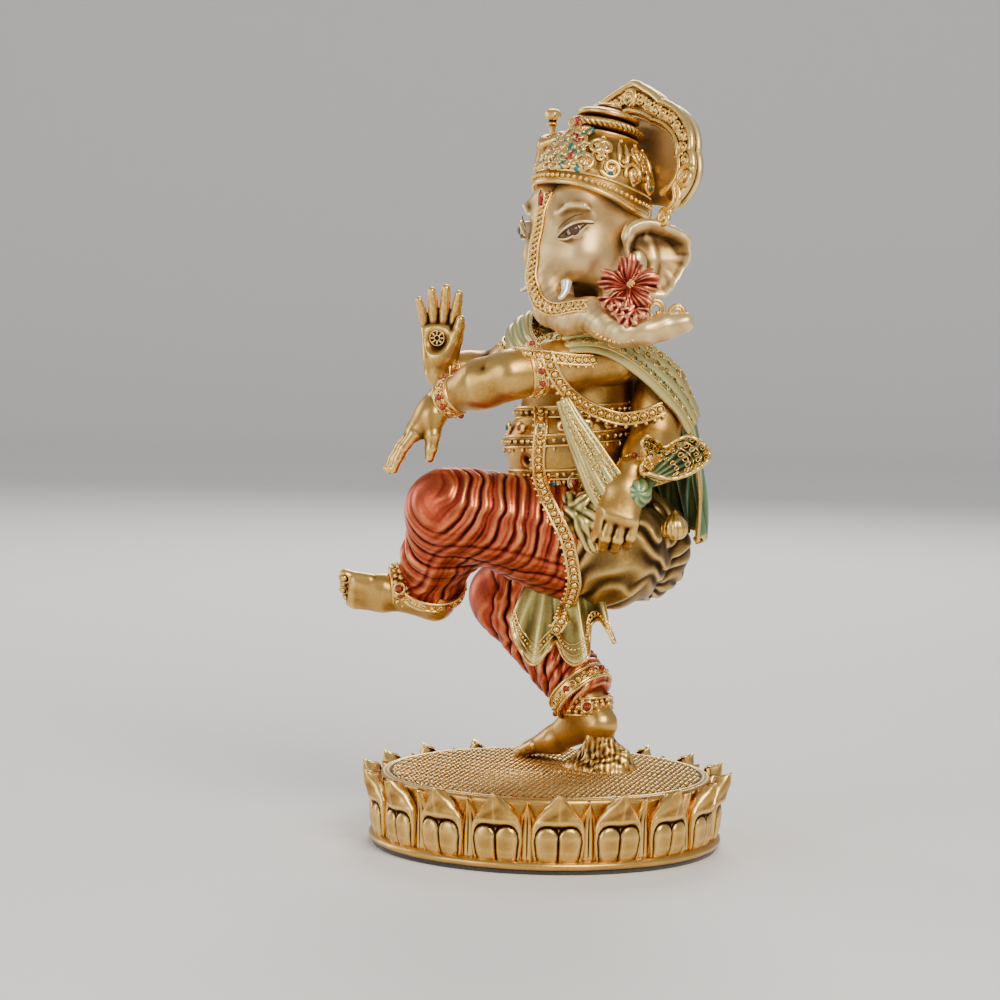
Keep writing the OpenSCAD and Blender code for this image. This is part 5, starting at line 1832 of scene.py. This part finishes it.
def ribbon(name, centres, normals, widths, folds, depth, material, slot, *nodes, thickness=1.1, rows=90, cols=54,
           ruffle=0.0, waves=3.0, border=None):
    """A strip of cloth along centres with lengthwise folds across its width."""
    centres = path_points(centres, rows)
    normals = path_points(normals, rows)
    normals /= np.linalg.norm(normals, axis=1)[:, None]
    tangents = np.gradient(centres, axis=0)
    tangents /= np.linalg.norm(tangents, axis=1)[:, None]
    normals = normals - tangents * np.einsum("ij,ij->i", normals, tangents)[:, None]
    normals /= np.linalg.norm(normals, axis=1)[:, None]
    across = np.cross(tangents, normals)
    widths = np.interp(np.linspace(0, 1, rows), np.linspace(0, 1, len(widths)), widths)
    w = np.linspace(-1, 1, cols)
    s = np.linspace(0, 1, rows)[:, None]
    fold = (0.6 * np.sin(w * folds * math.pi + 1.2 * np.sin(s * 5)) + 0.4 * np.sin(w * folds * 2.1 * math.pi + s * 3))
    rise = depth * fold - 0.10 * widths[:, None] * w ** 2 * 2
    rise = rise + ruffle * np.abs(w) ** 2 * np.sin(s * waves * 2 * math.pi + w)
    front = (centres[:, None] + across[:, None] * (w[None, :, None] * widths[:, None, None])
             + normals[:, None] * rise[..., None])
    parts = Parts()
    verts, faces = thick_sheet(front, thickness)
    parts.add(verts, faces)
    piece = place(parts.mesh(name, material), slot, *nodes)
    facing = np.cross(front[1:, :-1] - front[:-1, :-1], front[:-1, 1:] - front[:-1, :-1])
    if (facing * normals[:-1, None]).sum() < 0:
        front = front + normals[:, None] * thickness
    trim = Parts()
    for j in (0, -1):
        add_tube(trim, front[:, j] - normals * thickness / 2, 0.7, 8)
    for j in (5, -6):
        add_tube(trim, front[:, j] + normals * 0.1, 0.32, 6)
    if border is not None:
        for i in range(3, rows - 3, 4):
            add_bead(trim, (front[i, 2] + front[i, 3]) / 2 + normals[i] * 0.25, (0.5,) * 3, shape=SMALL_BALL)
        q = np.linspace(0, 1.25 * 2 * math.pi, 16)
        for i in range(5, rows - 4, 5):
            for k, j in enumerate((int(cols * 0.24), int(cols * 0.5), int(cols * 0.76))):
                r = 0.24 * widths[i] * (1 - 0.65 * q / q[-1])
                hand = 1 if (i + k) % 2 else -1
                curl = (front[i, j] + normals[i] * 0.15 + (r * np.cos(q + k))[:, None] * tangents[i]
                        + (hand * r * np.sin(q + k))[:, None] * across[i])
                add_tube(trim, curl, 0.3, 5)
    place(trim.mesh(name + "_border", BRIGHT), "brass")
    return piece


def scarves():
    out = lambda *v: unit(V(*v))
    ribbon("shoulder_scarf_cloth",
           [(-2, -13, 171), (8, -13, 174), (18, -9, 178.5), (27, 0, 178), (33.5, 11, 171.5), (37.5, 22, 162),
            (38.5, 31, 150)],
           [out(-0.1, -1, 0.4), out(0, -0.9, 0.5), out(0.3, -0.6, 0.9), out(0.7, -0.3, 0.8), out(0.95, 0, 0.5),
            out(1, 0.3, 0.4), out(1, 0.5, 0.2)],
           [5.0, 6.2, 7.0, 7.6, 8.0, 8.4, 7.4], 3.2, 0.75, GREEN, "green_wash", "shoulder_scarf", border=True)
    ribbon("right_shoulder_scarf_cloth",
           [(0, -11, 172), (-9, -8, 176), (-19, 0, 182), (-23, 10, 183.5), (-20, 22, 179), (-15, 30, 170)],
           [out(0, -1, 0.4), out(-0.3, -0.8, 0.6), out(-0.6, -0.4, 0.9), out(-0.7, 0.1, 0.9), out(-0.5, 0.7, 0.7),
            out(-0.2, 1, 0.3)],
           [4.2, 5.2, 6.0, 6.6, 7.0, 7.4], 3.0, 0.7, GREEN, "green_wash")
    ribbon("diagonal_sash_cloth",
           [(19.5, -14.9, 157), (23.0, -13.2, 149), (27.2, -10.5, 140), (31.8, -7.5, 130.5), (36.4, -3.4, 121)],
           [out(0.45, -0.9, 0.1), out(0.5, -0.86, 0.05), out(0.55, -0.82, 0), out(0.65, -0.75, -0.05),
            out(0.75, -0.6, -0.1)],
           [1.6, 3.4, 5.0, 6.2, 6.8], 3.0, 0.8, GREEN, "green_wash", "front_sash", border=True)
    drape()
    knot_and_end()


def drape():
    """The long end of the shawl that hangs behind the rear left arm, in upright folds."""
    rows, cols = 90, 80
    s, w = np.meshgrid(np.linspace(0, 1, rows), np.linspace(-1, 1, cols), indexing="ij")
    top = path_points([(-14, 32, 170), (0, 35, 172), (14, 37, 171), (27, 35, 166), (35.5, 27, 158)], cols)
    low = path_points([(4, 45, 118), (14, 48.5, 113), (24, 47, 110), (33, 42, 108), (41, 32, 109)], cols)
    sway = np.sin(np.linspace(0, 1, rows) * math.pi)[:, None, None] * V(1.5, 1.5, 0)
    front = top[None] * (1 - s[..., None]) + low[None] * s[..., None] + sway
    outward_dir = unit(V(0.45, 0.9, 0))
    fold = np.sin(w * 13 + 1.4 * np.sin(s * 4)) * 0.75 + 0.35 * np.sin(w * 27 + s * 5)
    front = front + outward_dir * (fold * (0.5 + 1.1 * s))[..., None]
    front[..., 2] += (np.sin(w * 9 + 1) * 1.3 * s ** 3)
    parts = Parts()
    verts, faces = thick_sheet(front, 1.2)
    parts.add(verts, faces)
    place(parts.mesh("back_drape_cloth", GREEN), "green_wash", "back_scarf")
    trim = Parts()
    for edge in (front[:, 0], front[:, -1], front[-1]):
        add_tube(trim, edge, 0.7, 8)
    add_tube(trim, front[:, -4] + outward_dir * 0.4, 0.35, 6)
    place(trim.mesh("back_drape_border", BRIGHT), "brass")


def knot_and_end():
    lo, hi = box("scarf_knot")
    c = (lo + hi) / 2
    toward = unit(V(0.64, -0.68, 0.1))

    def knot(p):
        d = sd_egg(p, c, (4.6, 4.6, 5.0))
        q = p - np.float32(c)
        angle = np.arctan2(q[..., 2], q @ np.float32(V(0.7, 0.7, 0)))
        wrap = np.abs(np.sin(angle * 3.5 + (q @ np.float32(toward)) * 0.5))
        return d - 0.45 * wrap + 0.2

    place(sculpt("scarf_knot_cast", c - V(17, 12, 10), c + V(9, 9, 15), knot, GREEN), "green_wash", "scarf_knot")
    right, up = unit(V(0.70, 0.713, 0)), V(0, 0, 1)
    lip = [(1.4, 6.5, 3), (4, 6.6, 4), (11, 5.0, 5.5), (18.2, 7.4, 5.5), (23.6, 12.4, 3), (22.0, 17.2, -2),
           (16.6, 20.0, -4.5), (11.9, 18.2, -5), (8.4, 16.2, -4), (5.4, 18.6, -1), (2.2, 19.4, 2), (0.8, 16.6, 3.4),
           (2.2, 12.6, 1), (0.8, 9, 2)]
    cols, rows = 168, 48
    rim = path_points([c + right * x + up * z + toward * y for x, z, y in lip], cols, closed=True)
    t = np.arange(cols) * 2 * math.pi / cols
    throat = c + right * 1.6 + up * 3.2 + (np.cos(t - 2.2)[:, None] * right + np.sin(t - 2.2)[:, None] * up) * 1.8
    s = np.linspace(0, 1, rows)[:, None, None]
    front = throat * (1 - s ** 0.85) + rim * s ** 0.85
    front = front - toward * (4.6 * np.sin(s * math.pi) ** 0.8)
    front = front + toward * (0.35 * s * np.sin(t * 16)[None, :, None])
    back = front - toward * 1.0 - up * 0.3
    closed = np.concatenate([front, back[::-1], front[:1]])
    parts = Parts()
    parts.add(closed.reshape(-1, 3), grid_faces(len(closed), cols, wrap_cols=True))
    place(parts.mesh("scarf_end_flare", GREEN), "green_wash", "scarf_end")
    trim = Parts()
    add_tube(trim, (front[-1] + back[-1]) / 2, 0.7, 8, closed=True)
    for ring in (33, 40):
        add_tube(trim, front[ring] + toward * 0.1, 0.3, 6, closed=True)
    turn = np.linspace(0, 1.2 * 2 * math.pi, 14)
    for ring, step, size in ((44, 6, 1.0), (37, 7, 1.15), (28, 8, 1.2), (19, 11, 1.1)):
        for j in range(0, cols, step):
            tangent = unit(front[ring, (j + 1) % cols] - front[ring, j - 1])
            rise = unit(front[ring + 2, j] - front[ring - 2, j])
            r = size * (1 - 0.5 * turn / turn[-1])
            curl = (front[ring, j] + toward * 0.15 + (r * np.cos(turn))[:, None] * tangent
                    + (r * np.sin(turn))[:, None] * rise)
            add_tube(trim, curl, 0.28, 5)
    place(trim.mesh("scarf_end_border", BRIGHT), "brass")


# ---------------------------------------------------------------- strings and belts

def strings():
    toward = unit(V(0.713, -0.70, 0))
    parts = Parts()
    route = [(14.2, -20.4, 154), (14.9, -20.4, 147), (14.4, -21, 136), (15.2, -20.1, 128), (18.2, -17.1, 119),
             (21.5, -13.7, 110), (23.1, -12.2, 101.5), (23.7, -11.5, 93), (21.9, -13.4, 84), (19.6, -15.7, 78)]
    pts = lay(path_points(route, 150), toward, 1.5)
    chain_strip(parts, pts, toward, 1.9, 1.1, pitch=3.0, cord=0.5, lace=0.7)
    place(parts.mesh("long_garland", BRIGHT), "brass", "front_garland")
    parts = Parts()
    sideways = unit(V(0.70, 0.713, 0))
    route = [sideways * u + toward * 20 + V(0, 0, z) for u, z in (
        (-2.8, 173), (-0.4, 166.7), (4.6, 159.6), (12.6, 154), (22.2, 150.7), (30.2, 151.6), (38, 154.7))]

    def over_the_arms(p):
        bridge = sd_cone(p, lerp(left_shoulder, left_elbow, 0.5), lerp(rear_left_shoulder, rear_left_elbow, 0.5),
                         8.4, 8.6)
        d = smin(bridge, sd_cone(p, left_shoulder, left_elbow, 9.6, 7.8), 5)
        return smin(d, sd_cone(p, rear_left_shoulder, rear_left_elbow, 9.4, 7.6), 5)

    pts = lay(path_points(route, 140), toward, 1.3, over_the_arms)
    chain_strip(parts, pts, toward, 1.9, 1.1, pitch=3.1, cord=0.6, lace=0.85)
    place(parts.mesh("beaded_shawl_hem", BRIGHT), "brass", "shawl_hem")


def round_body(z, tilt, lift, n=160, field=None, centre=None):
    """Points all round the trunk of the body near that height, resting on the skin."""
    a = np.arange(n) * 2 * math.pi / n
    base = V(*(lerp(belly, chest, np.clip((z - belly[2]) / (chest[2] - belly[2]), -0.3, 1))[:2]), z)
    if centre is not None:
        base = centre
    directions = np.stack([np.cos(a), np.sin(a), np.zeros(n)], 1)
    start = base + directions * 12 + V(0, 0, 1) * (directions[:, :2] @ np.asarray(tilt, float))[:, None]
    s = np.linspace(22, -10, 130)
    samples = start[:, None] + directions[:, None] * s[None, :, None]
    d = (field or torso_field)(samples.reshape(-1, 3).astype(np.float32)).reshape(n, -1)
    first = (d < lift).argmax(1)
    reach = s[first]
    k = np.ones(5) / 5
    reach = np.convolve(np.concatenate([reach[-2:], reach, reach[:2]]), k, mode="valid")
    return start + directions * reach[:, None], directions


def belts():
    parts, red, teal, dark = Parts(), Parts(), Parts(), Parts()
    for z, tilt, beads, width in ((belly[2] - 13.5, (1.0, 2.2), 1.05, 2.2), (belly[2] - 7.5, (0.8, 1.5), 0.8, 1.6),
                                  (belly[2] + 4.0, (1.6, 1.2), 0.9, 1.9), (belly[2] + 13.5, (1.2, 0.6), 0.85, 1.8)):
        pts, out = round_body(z, tilt, 0.9)
        for s in (-1, 1):
            add_tube(parts, pts + V(0, 0, width * s), 0.5, 8, closed=True)
        flat = pts[:, None] - out[:, None] * 0.5 + V(0, 0, 1) * np.linspace(-width, width, 5)[None, :, None]
        inner = flat - out[:, None] * 1.2
        closed = np.concatenate([flat, inner[:, ::-1], flat[:, :1]], 1)
        dark.add(closed.reshape(-1, 3), grid_faces(len(pts), closed.shape[1], wrap_rows=True))
        step = 160 / 44
        for i in range(44):
            at = pts[int(i * step)]
            add_bead(parts, at + out[int(i * step)] * 0.2, (beads,) * 3, shape=SMALL_BALL)
            if i % 2:
                add_bead(parts, at + out[int(i * step)] * 0.1 + V(0, 0, -width - 1.2), (0.62, 0.62, 0.95),
                         shape=SMALL_BALL)
    for k, angle in enumerate(np.radians([-118, -96, -74, -52, -30, -8])):
        pts, out = round_body(belly[2] - 10.5, (0.9, 1.8), 1.3)
        i = int((angle % (2 * math.pi)) / (2 * math.pi) * 160)
        axes = frame_axes(out[i], V(0, 0, 1))
        add_bead(parts, pts[i], (2.9, 3.3, 0.9), axes)
        add_bead((red, teal)[k % 2], pts[i] + out[i] * 0.8, (1.35, 1.6, 0.8), axes)
        t = np.arange(20) * 2 * math.pi / 20
        ring = pts[i] + out[i] * 0.5 + np.cos(t)[:, None] * axes[0] * 2.5 + np.sin(t)[:, None] * axes[1] * 2.9
        add_tube(parts, ring, 0.4, 6, closed=True)
        pts2, out2 = round_body(belly[2] + 8.5, (1.4, 0.9), 1.0)
        axes = frame_axes(out2[i], V(0, 0, 1))
        add_bead(parts, pts2[i], (2.3, 2.4, 0.8), axes)
        add_bead((teal, red)[k % 2], pts2[i] + out2[i] * 0.7, (1.0, 1.1, 0.7), axes)
    place(dark.mesh("belt_grounds", DARK_BRASS), "brass", "waist_belt")
    place(parts.mesh("belt_beads_and_plaques", BRIGHT), "brass")
    place(red.mesh("belt_red_stones", RED_JEWEL), "jewels")
    place(teal.mesh("belt_teal_stones", TEAL_JEWEL), "jewels")


def necklaces():
    parts = Parts()
    for drop, radius, bead in ((0.0, 11.5, 0.95), (5.5, 13.5, 1.1)):
        t = np.linspace(-2.0, 0.85, 70)
        base = neck + V(0, -1, -5 - drop)
        pts = np.stack([base[0] + radius * np.sin(t), base[1] - radius * np.cos(t),
                        base[2] - drop * 1.3 * (0.5 + 0.5 * np.cos(t)) + 0 * t], 1)
        out = np.stack([np.sin(t), -np.cos(t), 0.35 + 0 * t], 1)
        pts = lay(pts, out, 1.0)
        chain_strip(parts, pts, out, bead * 1.6, bead, pitch=2.7, lace=0.7)
    place(parts.mesh("neck_strings", BRIGHT), "brass")


# ---------------------------------------------------------------- rings round the limbs

def limb_ring(parts, a, b, t, radius, width, beads=26, scroll=True, stones=None, tilt=None):
    """A pair of raised edges round a limb with beads and little scrolls between them."""
    axes = frame_axes(b - a if tilt is None else (b - a) + tilt)
    c = lerp(a, b, t)
    q = np.arange(72) * 2 * math.pi / 72
    circle = np.cos(q)[:, None] * axes[0] + np.sin(q)[:, None] * axes[1]
    for s in (-1, 1):
        add_tube(parts, c + circle * radius + axes[2] * s * width, 0.62, 8, closed=True)
    rows = np.linspace(-width, width, 5)
    outer = c + circle[:, None] * (radius + 0.05) + axes[2] * rows[None, :, None]
    inner = c + circle[:, None] * (radius - 1.6) + axes[2] * rows[::-1][None, :, None]
    closed = np.concatenate([outer, inner, outer[:, :1]], 1)
    parts.add(closed.reshape(-1, 3), grid_faces(72, closed.shape[1], wrap_rows=True))
    for i in range(beads):
        ang = 2 * math.pi * i / beads
        out = axes[0] * math.cos(ang) + axes[1] * math.sin(ang)
        spot = c + out * (radius + 0.35)
        if scroll and i % 2:
            u = np.linspace(0, 1.35 * 2 * math.pi, 18)
            r = width * 0.62 * (1 - 0.6 * u / u[-1])
            tangent = np.cross(axes[2], out)
            add_tube(parts, spot + (r * np.cos(u))[:, None] * tangent + (r * np.sin(u))[:, None] * axes[2],
                     0.34, 5)
        else:
            add_bead(parts, spot, (min(0.95, width * 0.45),) * 3, shape=SMALL_BALL)
        if stones is not None and i % 6 == 0:
            add_bead(stones, spot + out * 0.5, (1.1,) * 3)


def rings():
    stones = Parts()
    for name, nodes, args in (
            ("left_armlet_ring", ("left_armlet",), (left_shoulder, left_elbow, 0.72, 8.5, 2.3)),
            ("left_bangle_ring", ("left_bangle",), (left_elbow, left_wrist, 0.84, 6.5, 2.6)),
            ("right_bangle_ring", ("right_bangle",), (right_elbow, right_wrist, 0.88, 5.9, 2.0)),
            ("rear_left_bangle_ring", ("rear_left_bangle",), (rear_left_elbow, rear_left_wrist, 0.9, 6.4, 2.2)),
            ("rear_right_bangle_ring", (), (rear_right_elbow, rear_right_wrist, 0.88, 5.6, 1.8)),
            ("rear_right_armlet_ring", (), (rear_right_shoulder, rear_right_elbow, 0.55, 8.3, 2.0)),
            ("raised_ankle_cuff", ("raised_cuff",), (left_knee, left_ankle, 1.0, 12.4, 1.7)),
            ("standing_ankle_cuff", ("standing_cuff",), (right_knee, right_ankle, 0.93, 11.4, 2.6)),
    ):
        parts = Parts()
        limb_ring(parts, *args, stones=stones)
        place(parts.mesh(name, BRIGHT), "brass", *nodes)
    for name, node, a, b, t, radius in (
            ("raised_ankle_bells", "raised_anklet", left_ankle, left_toe + V(3, 2, 0), 0.40, 7.6),
            ("standing_ankle_bells", "standing_anklet", right_ankle + V(0, 0, 2), right_heel + V(-6, 0, -2), 0.30, 8.6)):
        parts = Parts()
        axes = frame_axes(b - a)
        c = lerp(a, b, t)
        for row, (shift, size, count) in enumerate(((-1.6, 0.85, 22), (0.1, 1.15, 18), (2.0, 0.95, 20))):
            for i in range(count):
                ang = 2 * math.pi * (i + 0.5 * row) / count
                out = axes[0] * math.cos(ang) + axes[1] * math.sin(ang)
                spot = c + out * (radius + 0.3 * math.sin(3 * i)) + axes[2] * (shift + 0.25 * math.sin(5 * i))
                add_bead(parts, spot, (size,) * 3, shape=SMALL_BALL)
        q = np.arange(60) * 2 * math.pi / 60
        circle = np.cos(q)[:, None] * axes[0] + np.sin(q)[:, None] * axes[1]
        for s in (-2.7, 3.2):
            add_tube(parts, c + circle * (radius - 0.3) + axes[2] * s, 0.5, 8, closed=True)
        front = c + unit(V(0.7, -0.7, 0)) * (radius + 1.2)
        t2 = np.arange(24) * 2 * math.pi / 24
        ring = front + np.cos(t2)[:, None] * unit(V(0.7, 0.7, 0.1)) * 1.9 + np.sin(t2)[:, None] * V(0, 0, 1) * 1.9
        add_tube(parts, ring, 0.5, 8, closed=True)
        add_bead(stones, front, (1.15,) * 3)
        place(parts.mesh(name, BRIGHT), "brass", node)
    place(stones.mesh("ring_stones", RED_JEWEL), "jewels")


# ---------------------------------------------------------------- hems, knot and sweet

def hems():
    rows, cols = 60, 220
    s, w = np.meshgrid(np.linspace(0, 1, rows), np.linspace(0, 1, cols), indexing="ij")
    across, cam = unit(V(0.70, 0.713, 0)), unit(V(0.713, -0.70, 0))

    def hem_point(sideways, forward, height):
        return across * sideways + cam * forward + V(0, 0, height)

    top = path_points([hem_point(*q) for q in ((-9, 4, 92), (-4, 8, 94), (3, 12, 93), (10, 14, 93), (18, 14, 93))],
                      cols)
    low = path_points([hem_point(*q) for q in (
        (-13.4, 6, 80), (-10.6, 9, 70.5), (-5.2, 14, 64.5), (-0.6, 13, 69), (2.6, 11, 72.6), (5.6, 16, 67.6),
        (9.4, 21, 65.6), (13.4, 22, 68.6), (14.0, 18, 74), (14.6, 15, 79.0), (17.6, 17, 81.0), (20.4, 21, 78),
        (22.6, 24, 74))], cols)
    front = top[None] * (1 - s[..., None]) + low[None] * s[..., None]
    ruffle = 1.3 * np.sin(w * 21 + 0.5) * s + 0.6 * np.sin(w * 47 + s * 3) * s + 1.4 * np.sin(s * math.pi)
    front = front + cam * ruffle[..., None]
    parts = Parts()
    verts, faces = thick_sheet(front, 1.1)
    parts.add(verts, faces)
    place(parts.mesh("lower_hem_ruffle", OLIVE), "green_wash", "sash_hem")
    trim = Parts()
    add_tube(trim, front[-1] - cam * 0.4, 0.72, 8)
    for row, thick in ((52, 0.34), (44, 0.34)):
        add_tube(trim, front[row] + cam * 0.1, thick, 6)
    for j in range(4, cols, 5):
        add_bead(trim, front[48, j] + cam * 0.15, (0.55,) * 3, shape=SMALL_BALL)
    place(trim.mesh("lower_hem_border", BRIGHT), "brass")
    lo, hi = box("sash_knot")
    c = (lo + hi) / 2 + V(-2.5, -4.5, -6)

    def knot(p):
        d = None
        for a, b, r0, r1 in ((V(-5, -4, 5), V(2, -3, -3), 3.2, 4.2), (V(1, -3, 5), V(-4, -5, -4), 3.4, 3.6),
                             (V(-3, -5, 1), V(5, -1, 0), 3.8, 4.0), (V(0, -4, -4), V(4, -2, -10), 3.8, 2.8),
                             (V(-3, -4, -5), V(-5, -5, -10), 3.2, 2.6)):
            part = sd_cone(p, c + a, c + b, r0, r1)
            q, angle = around(p, c + a, c + b)
            part = part - 0.8 * np.abs(np.sin(angle * 3.5 + q * 0.35 + a[0])) ** 0.8 + 0.4
            d = part if d is None else smin(d, part, 1.6)
        return d + 0.25 * value_noise(p, 5, 61)

    place(sculpt("sash_knot_cast", c - V(18, 16, 24), c + V(18, 13, 20), knot, OLIVE), "green_wash", "sash_knot")


def sweet_piece():
    lo, hi = box("sweet")
    c = (lo + hi) / 2
    r = (hi - lo)[0] / 2
    profile = [(0.15, -r), (r * 0.55, -r * 0.96), (r * 0.9, -r * 0.62), (r, -r * 0.1), (r * 0.88, r * 0.35),
               (r * 0.6, r * 0.68), (r * 0.32, r * 0.92), (r * 0.14, r * 1.15), (0.1, r * 1.25)]
    dense = path_points([(a, b, 0) for a, b in profile], 60)[:, :2]
    dense[:, 0] = np.maximum(dense[:, 0], 0.08)
    pleats = lambda a, rr, h: (rr * (1 + 0.07 * np.abs(np.sin(a * 6)) - 0.03), h)
    parts = Parts()
    verts, faces = lathe(dense, c, np.eye(3), 96, pleats)
    parts.add(verts, faces)
    place(parts.mesh("pleated_sweet", BRASS), "brass", "sweet")


scarves()
strings()
belts()
necklaces()
rings()
hems()
sweet_piece()
